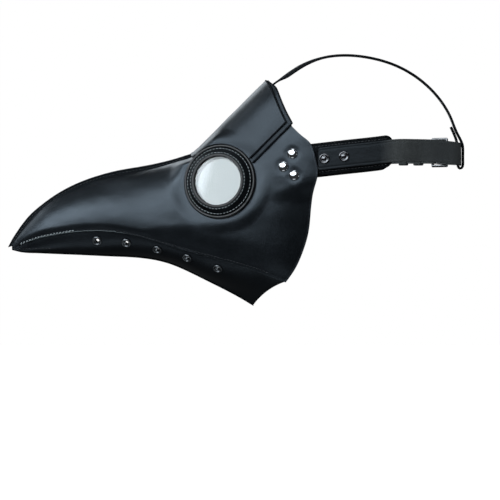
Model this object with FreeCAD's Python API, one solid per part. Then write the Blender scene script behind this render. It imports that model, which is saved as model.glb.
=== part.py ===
import FreeCAD, Part
import math

# Plague doctor mask, in millimetres. The beak points to -Y, the wearer's left is +X and +Z is up.
# The origin is the centre of the face opening: on the median plane, at eye height.

Vector = FreeCAD.Vector

# ---------------------------------------------------------------- driving dimensions

LEATHER = 2.0               # thickness of the side and lower panels
TIP_SHARE = 0.3             # share of that thickness left at the tip, where the leather is pared down
TIP_Y = -278.0
PARED_LENGTH = 24.0
MEDIAN_GAP = 1.6            # how far each panel's edge stays from the median plane
INNER_STEP = 0.1            # the panels' inner faces stay this much further from it
FIN_THICK = 2.4             # thickness of the ridge and keel seams
BRIDGE_Y = -97.0            # in front of this the panels meet along the ridge
KEEL_PROUD = 1.4            # how far the keel seam stands below the panels
SEAM_DEEP = 1.6             # how far both seams reach between the panels

LAP_GAP = 0.4               # room between a lower panel's edge and the side panel over it

# Side view of the left half, as (y, z): the skin's ridge and the seam below it, station by station.
STATIONS = [
    ((-278.0, -64.5), (-278.0, -67.0)),
    ((-268.0, -51.0), (-268.0, -63.5)),
    ((-255.0, -35.0), (-255.0, -58.8)),
    ((-235.0, -18.5), (-235.0, -54.5)),
    ((-210.0, -6.0), (-210.0, -51.3)),
    ((-180.0, 3.5), (-180.0, -51.4)),
    ((-150.0, 9.0), (-150.0, -57.0)),
    ((-122.0, 15.5), (-122.0, -65.6)),
    ((-97.0, 23.6), (-99.0, -72.7)),
    ((-82.0, 33.5), (-80.0, -78.0)),
    ((-60.0, 50.0), (-56.0, -85.0)),
    ((-37.0, 64.5), (-31.0, -93.5)),
    ((-17.0, 76.0), (-5.7, -104.0)),
]

# The ridge seam's upper edge from the tip to the bridge, as (y, z).
FIN_TOP = [
    (-282.0, -67.4), (-278.6, -60.6), (-270.5, -48.0), (-262.0, -37.0), (-250.0, -26.0), (-230.0, -12.0),
    (-210.0, -2.0), (-190.0, 5.0), (-170.0, 10.0), (-150.0, 13.4), (-130.0, 17.4), (-112.0, 22.2), (-101.0, 25.6),
]
FIN_FOOT = [(-100.4, 20.9), (-122.0, 13.9)]      # its lower corner at the bridge, and the next point along
FIN_TIP = [(-278.4, -66.6), (-281.0, -67.6)]

# The keel line under the beak, paired with the same stations, and how square each lower section is.
KEEL = [
    (-278.0, -68.6), (-268.0, -71.0), (-255.0, -71.8), (-235.0, -72.6), (-210.0, -73.6), (-180.0, -75.0),
    (-150.0, -76.6), (-122.0, -82.0), (-99.0, -91.6), (-82.0, -100.0), (-66.0, -108.0), (-51.0, -116.0),
    (-36.5, -124.6),
]
KEEL_SQUARE = [0.5, 0.8, 0.85, 0.85, 0.85, 0.85, 0.85, 0.85, 0.85, 0.8, 0.7, 0.5, 0.2]
CHIN_CURVE = (-24.0, -108.0)     # pulls the lower panel's rear edge forward, as (y, z)
CHIN_FROM = 0.7             # share of the panel's length where that begins
LOWER_FULL = 0.85           # how far out the lower panel's section is pulled, as a share of its width
CHIN_FULL = 0.78

# The cheek's rear edge from the brow down to the chin corner, as (y, z).
CHEEK_EDGE = [
    (-17.0, 76.0), (-8.0, 62.0), (0.6, 53.0), (10.5, 43.5), (20.0, 34.5), (24.5, 20.0), (26.8, 8.0),
    (24.5, -4.0), (20.3, -18.0), (18.4, -36.0), (16.5, -54.0), (12.0, -71.0), (4.5, -89.0), (-5.7, -104.0),
]
CHEEK_FROM = 0.62           # share of the side panel's length where it starts to follow that edge

# The skin's top line over the whole mask. Behind the bridge it is the brow's 45 degree line.
TOP_LINE = [top for top, _ in STATIONS[:8]] + [
    (-110.0, 19.0), (-99.0, 22.5), (-88.0, 30.5), (-70.0, 48.5), (-50.0, 68.5), (-30.0, 88.5), (10.0, 128.5),
    (40.0, 158.5),
]
SEAM_LINE = [seam for _, seam in STATIONS] + [(20.0, -113.0), (40.0, -119.0)]

# Half width of the mask, how blunt its top is and how far it tucks in at the seam, along y.
WIDTH = [
    (-278.0, 1.5), (-268.0, 6.0), (-250.0, 13.5), (-230.0, 20.0), (-190.0, 31.0), (-150.0, 40.0),
    (-110.0, 48.0), (-70.0, 58.0), (-35.0, 68.0), (0.0, 76.0), (30.0, 81.0),
]
BLUNT = [
    (-278.0, 0.8), (-230.0, 0.72), (-190.0, 0.66), (-150.0, 0.52), (-125.0, 0.36), (-107.0, 0.22),
    (-95.0, 0.17), (-70.0, 0.165), (-30.0, 0.19), (30.0, 0.19),
]
TUCK = [(-278.0, 0.05), (-190.0, 0.09), (-110.0, 0.10), (-70.0, 0.115), (-30.0, 0.18), (30.0, 0.26)]
ROUNDING = 2.2              # exponent of the section's curve
TUCK_POWER = 4
SPREAD_TO_RIDGE = 1.25      # above 1, a panel's grid lines crowd towards the ridge
SAME_WAY = 1                # ruled faces join their two edges in the edges' own direction

# Brow: a sheet folded over the forehead. s runs up the 45 degree line, d is the depth below it.
BROW_START = -54.5          # s of the hem across the bridge
BROW_MIDDLE = 5.0           # s of the section that spaces the grid lines out
BRIDGE_REACH = 6.0          # the hem is raised over the bridge to this depth
FOLD_COLUMNS = 3            # grid lines over which the fold closes up to the median plane
BROW_REAR = [(0.0, 52.6), (10.0, 49.7), (20.0, 45.3), (35.0, 39.2), (46.0, 35.8)]
BROW_DEPTH = 41.5
BROW_THICK = 1.5
BACKING_THICK = 1.4
BACKING_MARGIN = 4.6        # how far the backing shows past the brow panel
LAYER_GAP = 0.2
SKIN_GAP = 0.55             # room between the side panels and the brow backing
BROW_BASE = -83.8           # distance of the 45 degree line from the origin

# Eye port.
EYE = Vector(54.0, -69.5, -2.3)
EYE_TILT = 19.5             # angle between the port's axis and X
EYE_RISE = 21.0             # the tilt is forward, turned up by this angle
EYE_FLAT = 39.0             # the skin is flat inside this radius
EYE_BLEND = 52.0            # and back on its own shape outside this one
EYE_TOP_FADE = 0.06
BEAD_OUT = 37.3
SOCKET_OUT = 27.0
SOCKET_IN = 24.6
LENS_RADIUS = 26.9

# Rivets, snaps and eyelets, as (y, z) on the left side.
CHEEK_RIVETS = [(1.8, 25.3), (-7.1, 12.6), (3.5, 3.9)]
RIVET_RADIUS = 5.0
RIVET_DOME = 2.4
RIVET_STEM = 1.5
SNAP_LENGTHS = [178.2, 158.8]
SNAP_RADIUS = 5.2
VENTS = [(-192.4, -60.7), (-163.2, -62.8), (-132.2, -69.5), (-102.3, -77.9), (-71.9, -88.3)]
EYELET_RADIUS = 4.8
EYELET_TUBE = 3.0
EYELET_HOLE = 2.3

# Strap line in plan, measured from the back of the head: flat, bend, straight, bend, long side curve.
REAR_Y = 169.5
SIDE_X = 77.5
REAR_BEND = 45.0
REAR_TURN = 40.0
BUCKLE_RUN = 27.0
SIDE_BEND = 65.0
SIDE_TURN = 50.0
FACE_CURVE = 480.0
STRAP_HEIGHT = [
    (0.0, 25.3), (36.0, 26.9), (63.0, 28.2), (90.0, 28.5), (110.0, 28.1), (120.0, 26.8), (150.0, 23.4),
    (185.0, 19.5), (228.0, 14.8),
]
STRAP_THICK = 1.5
STRAP_HALF = 11.2
TAB_THICK = 3.6
TAB_HALF = 16.2
TAB_END = 110.0
TAB_FRONT = 227.0
LONG_LEVEL = 0.85           # centre line of a strap lying on the strap line
TONGUE_LEVEL = 2.65         # and of one lying over another
CORNER_SHARE = 0.55         # radius of a strap end's corners as a share of its half width

# Buckle, on the straight run behind the right ear.
HEEL_AT = 60.5
FRONT_BAR_AT = 39.5
BAR_RADIUS = 1.4
BAR_LEVEL = 1.4
FRAME_HALF = 13.4
PRONG_RADIUS = 1.15
PRONG_HUB = 1.2             # wall of the prong's eye round the heel bar
PRONG_HALF = 1.6            # half the height of that eye
PRONG_PAST = 2.2            # how far the prong's tip reaches past the front bar
PRONG_CLEARANCE = 0.06
TONGUE_END = 115.0
FIXED_KEEPER_AT = 80.0
SLIDING_KEEPER_AT = 96.5
KEEPER_WIDTH = 8.0
KEEPER_THICK = 1.3
KEEPER_ROOM = 0.35          # room inside a keeper, outside and inside the straps
KEEPER_SPARE = 0.6          # and above and below them

# Long strap's tongue and short strap at the buckle: centre lines as (length from the back, level).
TONGUE_TRACK = [
    (26.0, 0.85), (30.0, 0.6), (34.0, -0.5), (38.0, -1.35), (42.0, -1.4), (46.0, -1.3), (50.0, -0.7),
    (52.5, 0.2), (54.5, 1.6), (56.0, 3.4), (57.6, 4.95), (59.6, 5.65), (62.5, 5.85), (66.0, 5.7),
    (70.0, 4.9), (74.0, 3.5), (77.0, 2.8), (80.0, 2.65), (90.0, 2.65), (102.0, 2.65), (115.0, 2.65),
]
SHORT_TRACK = [
    (60.5, 3.85), (64.0, 3.8), (67.0, 3.4), (70.0, 2.6), (73.0, 1.6), (76.0, 1.0), (80.0, 0.85), (90.0, 0.85),
    (105.0, 0.85), (125.0, 0.85), (145.0, 0.85), (165.0, 0.85), (184.0, 0.85),
]
FOLD_TRACK = [(60.5, -1.05), (64.0, -1.05), (68.0, -1.05), (73.0, -1.05)]
LONG_START = [184.0, 165.0, 145.0, 125.0, 110.0, 95.0, 80.0, 65.0, 50.0, 36.0, 24.0, 12.0, 0.0, -12.0, -20.0]
PRONG_HOLE = (52.2, 59.4)
PRONG_HOLE_HALF = 1.8
SPARE_HOLES = [10.0, 24.0, 70.5, 104.5]
SPARE_HOLE_RADIUS = 1.8

# Top strap, side view centre line as (y, z): from under the brow, over the head, round the back strap.
TOP_STRAP = [
    (-31.0, 85.3), (-23.5, 90.6), (-14.5, 97.2), (-5.0, 104.2), (10.0, 114.0), (30.0, 121.6), (54.0, 124.6),
    (80.0, 122.1), (106.0, 114.3), (130.0, 100.2), (149.0, 81.4), (161.0, 61.4), (166.6, 47.5),
    (170.0, 41.0), (172.4, 35.0), (172.9, 27.0), (172.9, 19.0), (172.7, 14.4), (171.8, 12.3), (170.35, 11.5),
    (168.9, 12.3), (167.9, 14.4), (167.7, 19.0), (167.6, 27.0), (167.2, 35.0), (165.9, 41.0), (163.5, 47.0),
    (160.8, 53.0),
]
TOP_STRAP_HALF = 8.0
TOP_STRAP_THICK = 1.8


# ---------------------------------------------------------------- curves and surfaces

class SmoothCurve:
    """Natural cubic spline through (x, value) points, straight beyond its ends."""

    def __init__(self, points):
        self.points = points
        count = len(points)
        self.bend = [0.0] * count
        upper = [0.0] * count
        right = [0.0] * count
        for k in range(1, count - 1):
            before = points[k][0] - points[k - 1][0]
            after = points[k + 1][0] - points[k][0]
            jump = (points[k + 1][1] - points[k][1]) / after - (points[k][1] - points[k - 1][1]) / before
            pivot = 2.0 * (before + after) - before * upper[k - 1]
            upper[k] = after / pivot
            right[k] = (6.0 * jump - before * right[k - 1]) / pivot
        for k in range(count - 2, 0, -1):
            self.bend[k] = right[k] - upper[k] * self.bend[k + 1]

    def end_slope(self, k):
        (x0, v0), (x1, v1) = self.points[k], self.points[k + 1]
        span = x1 - x0
        chord = (v1 - v0) / span
        if k == 0:
            return chord - span * self.bend[1] / 6.0
        return chord + span * self.bend[k] / 6.0

    def __call__(self, x):
        points = self.points
        if x <= points[0][0]:
            return points[0][1] + (x - points[0][0]) * self.end_slope(0)
        if x >= points[-1][0]:
            return points[-1][1] + (x - points[-1][0]) * self.end_slope(len(points) - 2)
        k = 0
        while x > points[k + 1][0]:
            k += 1
        (x0, v0), (x1, v1) = points[k], points[k + 1]
        span = x1 - x0
        a = (x1 - x) / span
        b = 1.0 - a
        curved = (a ** 3 - a) * self.bend[k] + (b ** 3 - b) * self.bend[k + 1]
        return a * v0 + b * v1 + curved * span * span / 6.0


class SmoothPath:
    """Smooth curve through points, run from 0 to 1 by equal steps between them or by their distance."""

    def __init__(self, points, by_distance=False):
        places = [0.0]
        for before, after in zip(points, points[1:]):
            places.append(places[-1] + (math.dist(before, after) if by_distance else 1.0))
        self.parts = []
        for axis in range(len(points[0])):
            self.parts.append(SmoothCurve([(at / places[-1], p[axis]) for at, p in zip(places, points)]))

    def __call__(self, u):
        return tuple(part(u) for part in self.parts)


def ease(x):
    x = min(max(x, 0.0), 1.0)
    return x * x * (3.0 - 2.0 * x)


top_line = SmoothCurve(TOP_LINE)
seam_line = SmoothCurve(SEAM_LINE)
width_along = SmoothCurve(WIDTH)
blunt_along = SmoothCurve(BLUNT)
tuck_along = SmoothCurve(TUCK)

tilt = math.radians(EYE_TILT)
rise = math.radians(EYE_RISE)
EYE_AXIS = Vector(math.cos(tilt), -math.sin(tilt) * math.cos(rise), math.sin(tilt) * math.sin(rise))


def eye_plane(y, z):
    """X of the eye port's seat plane."""
    return EYE.x - (EYE_AXIS.y * (y - EYE.y) + EYE_AXIS.z * (z - EYE.z)) / EYE_AXIS.x


def half_width(y, z):
    """X of the left skin's outer face at a point of the side view."""
    top = top_line(y)
    down = min(max((top - z) / (top - seam_line(y)), 0.0), 1.15)
    rounded = (1.0 - max(1.0 - down, 0.0) ** ROUNDING) ** blunt_along(y)
    wide = MEDIAN_GAP + width_along(y) * (rounded - tuck_along(y) * down ** TUCK_POWER)
    near = math.hypot(y - EYE.y, z - EYE.z)
    pull = ease((EYE_BLEND - near) / (EYE_BLEND - EYE_FLAT)) * ease(down / EYE_TOP_FADE)
    return wide + pull * (eye_plane(y, z) - wide)


def grid_normals(grid):
    """Unit normals of a grid of points, by differences between neighbours."""
    rows, columns = len(grid), len(grid[0])
    normals = []
    for i in range(rows):
        line = []
        for j in range(columns):
            along = grid[min(i + 1, rows - 1)][j] - grid[max(i - 1, 0)][j]
            across = grid[i][min(j + 1, columns - 1)] - grid[i][max(j - 1, 0)]
            normal = along.cross(across)
            line.append(normal.normalize())
        normals.append(line)
    return normals


def offset_grid(grid, distance):
    """The grid moved along its normals."""
    moved = []
    for points, directions in zip(grid, grid_normals(grid)):
        moved.append([p + n * distance for p, n in zip(points, directions)])
    return moved


def inner_grid(grid):
    """The inner face of a left panel: pared thin at the tip and kept on its own side of the median plane."""
    moved = []
    for points, directions in zip(grid, grid_normals(grid)):
        line = []
        for p, n in zip(points, directions):
            pared = ease((p.y - TIP_Y) / PARED_LENGTH)
            thick = LEATHER * (TIP_SHARE + (1.0 - TIP_SHARE) * pared)
            inside = p + Vector(n.x, n.y * pared, n.z) * thick
            line.append(Vector(max(inside.x, MEDIAN_GAP + INNER_STEP), inside.y, inside.z))
        moved.append(line)
    return moved


def solid_of(faces):
    shell = Part.makeShell(faces)
    shell.sewShape()
    solid = Part.makeSolid(shell)
    if solid.Volume < 0:
        solid.reverse()
    return solid


def even_knots(count):
    """Knots and multiplicities of a cubic spline with that many control points."""
    inner = count - 2
    return [float(k) for k in range(inner)], [4] + [1] * (inner - 2) + [4]


def sheet(grid):
    """Cubic surface with the grid as its control points, so that it never overshoots them."""
    surface = Part.BSplineSurface()
    u_knots, u_mults = even_knots(len(grid))
    v_knots, v_mults = even_knots(len(grid[0]))
    surface.buildFromPolesMultsKnots(grid, u_mults, v_mults, u_knots, v_knots, False, False, 3, 3)
    return surface


def shell_between(outer, inner):
    """Closed solid between two matching grids of points."""
    surfaces = [sheet(outer), sheet(inner)]
    faces = [surface.toShape() for surface in surfaces]
    borders = []
    for surface in surfaces:
        u0, u1, v0, v1 = surface.bounds()
        borders.append([surface.uIso(u0), surface.uIso(u1), surface.vIso(v0), surface.vIso(v1)])
    for one, other in zip(*borders):
        faces.append(Part.makeRuledSurface(one.toShape(), other.toShape(), SAME_WAY))
    return solid_of(faces)


def ribbon(stations):
    """Closed solid through stations of four corners each, in order round the section."""
    rails = []
    for corner in range(4):
        rail = Part.BSplineCurve()
        rail.interpolate([station[corner] for station in stations])
        rails.append(rail.toShape())
    faces = [Part.makeRuledSurface(rails[k], rails[(k + 1) % 4], SAME_WAY) for k in range(4)]
    for station in (stations[0], stations[-1]):
        faces.append(Part.Face(Part.makePolygon(list(station) + [station[0]])))
    return solid_of(faces)


def mirrored(shape):
    return shape.mirror(Vector(0, 0, 0), Vector(1, 0, 0))


def ring(profile, origin, axis):
    """Solid of revolution of a closed (radius, height) outline about an axis."""
    corners = [Vector(r, 0, h) for r, h in profile]
    face = Part.Face(Part.makePolygon(corners + [corners[0]]))
    solid = face.revolve(Vector(0, 0, 0), Vector(0, 0, 1), 360)
    solid.Placement = FreeCAD.Placement(origin, FreeCAD.Rotation(Vector(0, 0, 1), axis))
    return solid


def rod(radius, start, end):
    return Part.makeCylinder(radius, (end - start).Length, start, end - start)


def export(name, shapes):
    shape = shapes[0] if len(shapes) == 1 else Part.makeCompound(shapes)
    shape.exportStep("parts/" + name + ".step")
    print(name, "valid", shape.isValid(), "volume", round(shape.Volume), "solids", len(shape.Solids))


# ---------------------------------------------------------------- leather panels

def side_grid(rows=48, columns=26):
    """Points of the left side panel's outer face, from the beak's tip to the cheek's rear edge."""
    tops = SmoothPath([top for top, _ in STATIONS])
    seams = SmoothPath([seam for _, seam in STATIONS])
    cheek = SmoothPath(CHEEK_EDGE)
    grid = []
    for i in range(rows + 1):
        u = i / rows
        top, seam = tops(u), seams(u)
        if top[0] < BRIDGE_Y:
            top = (top[0], top_line(top[0]))
        follow = ease((u - CHEEK_FROM) / (1.0 - CHEEK_FROM))
        line = []
        for j in range(columns + 1):
            v = (j / columns) ** SPREAD_TO_RIDGE
            first, last, edge = cheek(0.0), cheek(1.0), cheek(v)
            y = (1 - v) * top[0] + v * seam[0]
            z = (1 - v) * top[1] + v * seam[1]
            y += follow * (edge[0] - (1 - v) * first[0] - v * last[0])
            z += follow * (edge[1] - (1 - v) * first[1] - v * last[1])
            line.append(Vector(half_width(y, z), y, z))
        grid.append(line)
    return grid


def make_side_panel():
    grid = side_grid()
    return shell_between(grid, inner_grid(grid))


def lower_grid(rows=40, columns=12):
    """Points of the left lower panel's outer face, from the seam down to the keel."""
    seams = SmoothPath([seam for _, seam in STATIONS])
    keels = SmoothPath(KEEL)
    square = SmoothPath([(k,) for k in KEEL_SQUARE])
    grid = []
    for i in range(rows + 1):
        u = i / rows
        seam, keel = seams(u), keels(u)
        rear = ease((u - CHIN_FROM) / (1.0 - CHIN_FROM))
        wide = max(half_width(*seam) - LEATHER - LAP_GAP, MEDIAN_GAP + 0.5)
        start = Vector(wide, seam[0], seam[1] + 1.0)
        end = Vector(MEDIAN_GAP, keel[0], keel[1])
        depth = square(u)[0] * (seam[1] - keel[1])
        pull = Vector(LOWER_FULL * wide, 0.5 * (seam[0] + keel[0]), seam[1] - depth)
        pull = pull + rear * (Vector(CHIN_FULL * wide, CHIN_CURVE[0], CHIN_CURVE[1]) - pull)
        line = []
        for j in range(columns + 1):
            v = j / columns
            line.append(start * (1 - v) ** 2 + pull * (2 * v * (1 - v)) + end * v ** 2)
        grid.append(line)
    return grid


def make_lower_panel():
    grid = lower_grid()
    return shell_between(grid, inner_grid(grid))


def brow_point(s, d):
    root = math.sqrt(0.5)
    y = root * (s + d + BROW_BASE)
    z = root * (s - d - BROW_BASE)
    return y, z


def bridge_lift(s, d):
    """How far a brow point is raised to pass over the bridge, where the top line leaves the 45 degree line."""
    y, z = brow_point(s, 0.0)
    return max(top_line(y) - z, 0.0) * (1.0 - ease(d / BRIDGE_REACH))


def brow_grid(margin, rows=30, half_columns=14):
    """Points of the skin under the brow, from one side over the forehead to the other."""
    rear = SmoothCurve(BROW_REAR)
    depth = BROW_DEPTH + margin
    steps = 400
    dense = [depth * (k / steps) ** 4 for k in range(steps + 1)]
    track = [(half_width(*brow_point(BROW_MIDDLE, d)) - MEDIAN_GAP, d) for d in dense]
    lengths = [0.0]
    for (x0, d0), (x1, d1) in zip(track, track[1:]):
        lengths.append(lengths[-1] + math.hypot(x1 - x0, d1 - d0))
    depths = []
    for j in range(half_columns + 1):
        wanted = lengths[-1] * j / half_columns
        k = min(range(steps + 1), key=lambda n: abs(lengths[n] - wanted))
        depths.append(dense[k])
    grid = []
    for i in range(rows + 1):
        line = []
        for j in range(-half_columns, half_columns + 1):
            d = depths[abs(j)]
            s = BROW_START + (rear(d) + margin - BROW_START) * i / rows
            y, z = brow_point(s, d)
            z += bridge_lift(s, d)
            x = half_width(y, z) - MEDIAN_GAP * (1.0 - ease(abs(j) / FOLD_COLUMNS))
            line.append(Vector(math.copysign(x, j) if j else 0.0, y, z))
        grid.append(line)
    return grid


def make_brow_layer(margin, low, high):
    grid = brow_grid(margin)
    outer = offset_grid(grid, -high)
    inner = offset_grid(grid, -low)
    layer = shell_between(outer, inner)
    for side in (1, -1):
        axis = Vector(side * EYE_AXIS.x, EYE_AXIS.y, EYE_AXIS.z)
        centre = Vector(side * EYE.x, EYE.y, EYE.z)
        layer = layer.cut(Part.makeCylinder(BEAD_OUT + 0.4, 60.0, centre - axis * 20.0, axis))
    return layer


# ---------------------------------------------------------------- seams

def flat_strip(outline):
    """Thin solid on the median plane from a closed side view outline."""
    corners = [Vector(-FIN_THICK / 2, y, z) for y, z in outline]
    face = Part.Face(Part.makePolygon(corners + [corners[0]]))
    return face.extrude(Vector(FIN_THICK, 0, 0))


def make_ridge_seam():
    ridge = [top for top, _ in STATIONS[1:7]]
    lower = [(y, z - SEAM_DEEP) for y, z in reversed(ridge)]
    return flat_strip(FIN_TOP + FIN_FOOT + lower + FIN_TIP)


def make_keel_seam():
    below = [(y, z - KEEL_PROUD) for y, z in KEEL]
    above = [(y, z + SEAM_DEEP) for y, z in reversed(KEEL[1:])]
    return flat_strip(below + above + [(KEEL[0][0], KEEL[0][1] + 0.3)])


# ---------------------------------------------------------------- eye port

EYE_PROFILES = {
    "eye_bead": [(33.9, 0.15), (37.3, 0.15), (37.3, 1.7), (36.7, 2.8), (35.6, 3.3), (34.5, 2.8), (33.9, 1.7)],
    "eye_band": [(33.7, 0.15), (33.7, 3.2), (28.7, 8.5), (27.2, 9.0), (27.2, 7.8), (31.9, 2.8), (31.9, 0.15)],
    "eye_lip": [(24.25, 7.95), (24.25, 9.3), (25.0, 9.8), (26.3, 9.9), (27.05, 9.4), (27.05, 7.95)],
    "eye_lens": [(0.0, 6.7), (LENS_RADIUS, 6.2), (LENS_RADIUS, 7.5), (0.0, 8.1)],
    "eye_socket": [(SOCKET_IN, -3.6), (SOCKET_OUT, -3.6), (SOCKET_OUT, 6.1), (SOCKET_IN, 6.1)],
    "eye_retainer": [(SOCKET_OUT + 0.1, -3.6), (33.0, -3.6), (33.0, -2.2), (SOCKET_OUT + 0.1, -2.2)],
}


# ---------------------------------------------------------------- strap line

rear_turn = math.radians(REAR_TURN)
side_turn = math.radians(SIDE_TURN)
rear_flat = SIDE_X - REAR_BEND * math.sin(rear_turn) - BUCKLE_RUN * math.cos(rear_turn)
rear_flat -= SIDE_BEND * (1.0 - math.sin(rear_turn))
SEGMENTS = [
    (rear_flat, 0.0), (REAR_BEND * rear_turn, REAR_BEND), (BUCKLE_RUN, 0.0),
    (SIDE_BEND * side_turn, SIDE_BEND), (300.0, FACE_CURVE),
]
strap_height = SmoothCurve(STRAP_HEIGHT)


def plan(length, level, z):
    """Point `length` along the strap line from the back centre, left side positive, and `level` outside it."""
    x, y, heading = 0.0, REAR_Y, 0.0
    left = abs(length)
    for span, radius in SEGMENTS:
        step = min(left, span)
        if radius:
            centre_x = x + radius * math.sin(heading)
            centre_y = y - radius * math.cos(heading)
            heading -= step / radius
            x = centre_x - radius * math.sin(heading)
            y = centre_y + radius * math.cos(heading)
        else:
            x += step * math.cos(heading)
            y += step * math.sin(heading)
        left -= step
        if left <= 0:
            break
    x -= level * math.sin(heading)
    y += level * math.cos(heading)
    return Vector(math.copysign(x, length) if length else x, y, z)


def strap_solid(track, thick, half):
    """Ribbon along (length, level) centre points with its true thickness; `half` is the half height."""
    stations = []
    for k, (length, level) in enumerate(track):
        before, after = track[max(k - 1, 0)], track[min(k + 1, len(track) - 1)]
        step = Vector(after[0] - before[0], after[1] - before[1], 0).normalize()
        if step.x < 0:
            step = step * -1.0
        middle = strap_height(abs(length))
        corners = []
        for side in (-0.5, 0.5):
            at = length - step.y * thick * side
            out = level + step.x * thick * side
            heights = (middle - half, middle + half)
            corners += [plan(at, out, z) for z in (heights if side < 0 else heights[::-1])]
        stations.append(corners)
    return ribbon(stations)


def rounded_end(solid, length, half, towards):
    """The ribbon with the corners at its end, near the given length, rounded off."""
    middle = strap_height(abs(length))
    end = plan(length, 0.0, middle)
    inward = (plan(length + towards, 0.0, middle) - end).normalize()
    outward = Vector(0, 0, 1).cross(inward)
    reach = CORNER_SHARE * half
    inset = reach * (1.0 - math.sqrt(0.5))
    through = 30.0
    for sign in (1, -1):
        corner = end + Vector(0, 0, sign * half)
        start = corner + inward * reach
        finish = corner - Vector(0, 0, sign * reach)
        bulge = corner + inward * inset - Vector(0, 0, sign * inset)
        beyond = corner - inward * half + Vector(0, 0, sign * half)
        edges = [
            Part.Arc(start, bulge, finish).toShape(),
            Part.makeLine(finish, finish - inward * half),
            Part.makeLine(finish - inward * half, beyond),
            Part.makeLine(beyond, start + Vector(0, 0, sign * half)),
            Part.makeLine(start + Vector(0, 0, sign * half), start),
        ]
        face = Part.Face(Part.Wire(edges))
        cutter = face.extrude(outward * 2.0 * through)
        cutter.translate(outward * -through)
        solid = solid.cut(cutter)
    return solid


def strap_frame(length, level):
    """Centre point and outward direction of a strap at a length."""
    middle = strap_height(abs(length))
    point = plan(length, level, middle)
    outward = (plan(length, level + 1.0, middle) - point).normalize()
    return point, outward


# ---------------------------------------------------------------- fasteners

def skin_frame(y, z):
    """Point and outward normal of the left side panel's face at a point of the side view."""
    slope_y = (half_width(y + 1, z) - half_width(y - 1, z)) / 2.0
    slope_z = (half_width(y, z + 1) - half_width(y, z - 1)) / 2.0
    return Vector(half_width(y, z), y, z), Vector(1.0, -slope_y, -slope_z).normalize()


def dome_rivet(point, outward, radius, depth):
    """A domed head on a face, with its stem and the cap behind."""
    head = [
        (0.0, 0.1), (radius, 0.1), (radius, 0.7), (0.88 * radius, 1.5), (0.6 * radius, 2.1),
        (0.28 * radius, RIVET_DOME), (0.0, RIVET_DOME),
    ]
    cap = [(0.0, -depth - 1.1), (0.8 * radius, -depth - 1.1), (0.8 * radius, -depth - 0.1), (0.0, -depth - 0.1)]
    stem = rod(RIVET_STEM, point - outward * (depth + 0.5), point + outward * 0.5)
    return ring(head, point, outward).fuse(stem).fuse(ring(cap, point, outward))


def stem_hole(point, outward):
    return rod(RIVET_STEM + 0.1, point - outward * 12.0, point + outward * 3.0)


def tab_face(y):
    """X of the tab's outer face where it curves in towards the cheek."""
    curve_start = plan(sum(span for span, _ in SEGMENTS[:4]), 0.0, 0.0)
    return SIDE_X - (curve_start.y - y) ** 2 / (2.0 * FACE_CURVE)


def cheek_rivet_places():
    places = []
    for y, z in CHEEK_RIVETS:
        point, outward = skin_frame(y, z)
        depth = (point.x - tab_face(y) + TAB_THICK) / outward.x + 0.2
        places.append((point, outward, depth))
    return places


def snap_places():
    places = []
    for length in SNAP_LENGTHS:
        point, outward = strap_frame(length, LONG_LEVEL + STRAP_THICK / 2)
        places.append((point, outward, STRAP_THICK + 0.1 + TAB_THICK + 0.2))
    return places


def nearest_on_grid(grid, y, z):
    """Point and outward normal of a grid where it passes a point of the side view."""
    normals = grid_normals(grid)
    best = None
    for i, line in enumerate(grid):
        for j, p in enumerate(line):
            gap = math.hypot(p.y - y, p.z - z)
            if best is None or gap < best[0]:
                best = (gap, i, j)
    _, i, j = best
    outward = normals[i][j] * -1.0
    near = grid[i][j]
    x = near.x - (outward.y * (y - near.y) + outward.z * (z - near.z)) / outward.x
    return Vector(x, y, z), outward


def vent_places():
    grid = lower_grid(80, 24)
    return [nearest_on_grid(grid, y, z) for y, z in VENTS]


def eyelet(point, outward):
    """A rolled eyelet through the leather, with its washer behind."""
    behind = -LEATHER - 0.5
    outline = [
        (EYELET_HOLE, behind - 0.5), (EYELET_RADIUS - 0.5, behind - 0.5), (EYELET_RADIUS - 0.5, behind),
        (EYELET_TUBE - 0.1, behind), (EYELET_TUBE - 0.1, 0.45), (EYELET_RADIUS, 0.45), (EYELET_RADIUS - 0.3, 1.0),
        (EYELET_TUBE + 0.6, 1.4), (EYELET_HOLE + 0.2, 1.1), (EYELET_HOLE, 0.4),
    ]
    return ring(outline, point, outward)


# ---------------------------------------------------------------- straps

def make_tab():
    lengths = [TAB_END + (TAB_FRONT - TAB_END) * k / 12 for k in range(13)]
    tab = strap_solid([(length, -TAB_THICK / 2) for length in lengths], TAB_THICK, TAB_HALF)
    tab = rounded_end(tab, TAB_END, TAB_HALF, 3.0)
    tab = rounded_end(tab, TAB_FRONT, TAB_HALF, -3.0)
    for point, outward, _ in cheek_rivet_places() + snap_places():
        tab = tab.cut(stem_hole(point, outward))
    return tab


def make_long_strap():
    track = [(length, LONG_LEVEL) for length in LONG_START] + [(-length, level) for length, level in TONGUE_TRACK]
    strap = strap_solid(track, STRAP_THICK, STRAP_HALF)
    strap = rounded_end(strap, -TONGUE_END, STRAP_HALF, 3.0)
    for point, outward, _ in snap_places():
        strap = strap.cut(stem_hole(point, outward))
    for length in SPARE_HOLES:
        point, outward = strap_frame(-length, 0.0)
        strap = strap.cut(rod(SPARE_HOLE_RADIUS, point - outward * 5.0, point + outward * 10.0))
    return strap.cut(buckle_box(PRONG_HOLE[0], PRONG_HOLE[1], PRONG_HOLE_HALF))


def buckle_box(start, end, half):
    """Box across the right strap on the buckle's straight run."""
    middle = strap_height(HEEL_AT)
    near, far = plan(-start, -8.0, middle), plan(-end, -8.0, middle)
    outward = (plan(-start, 0.0, middle) - near).normalize()
    up = Vector(0, 0, half)
    face = Part.Face(Part.makePolygon([near - up, far - up, far + up, near + up, near - up]))
    return face.extrude(outward * 18.0)


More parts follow.
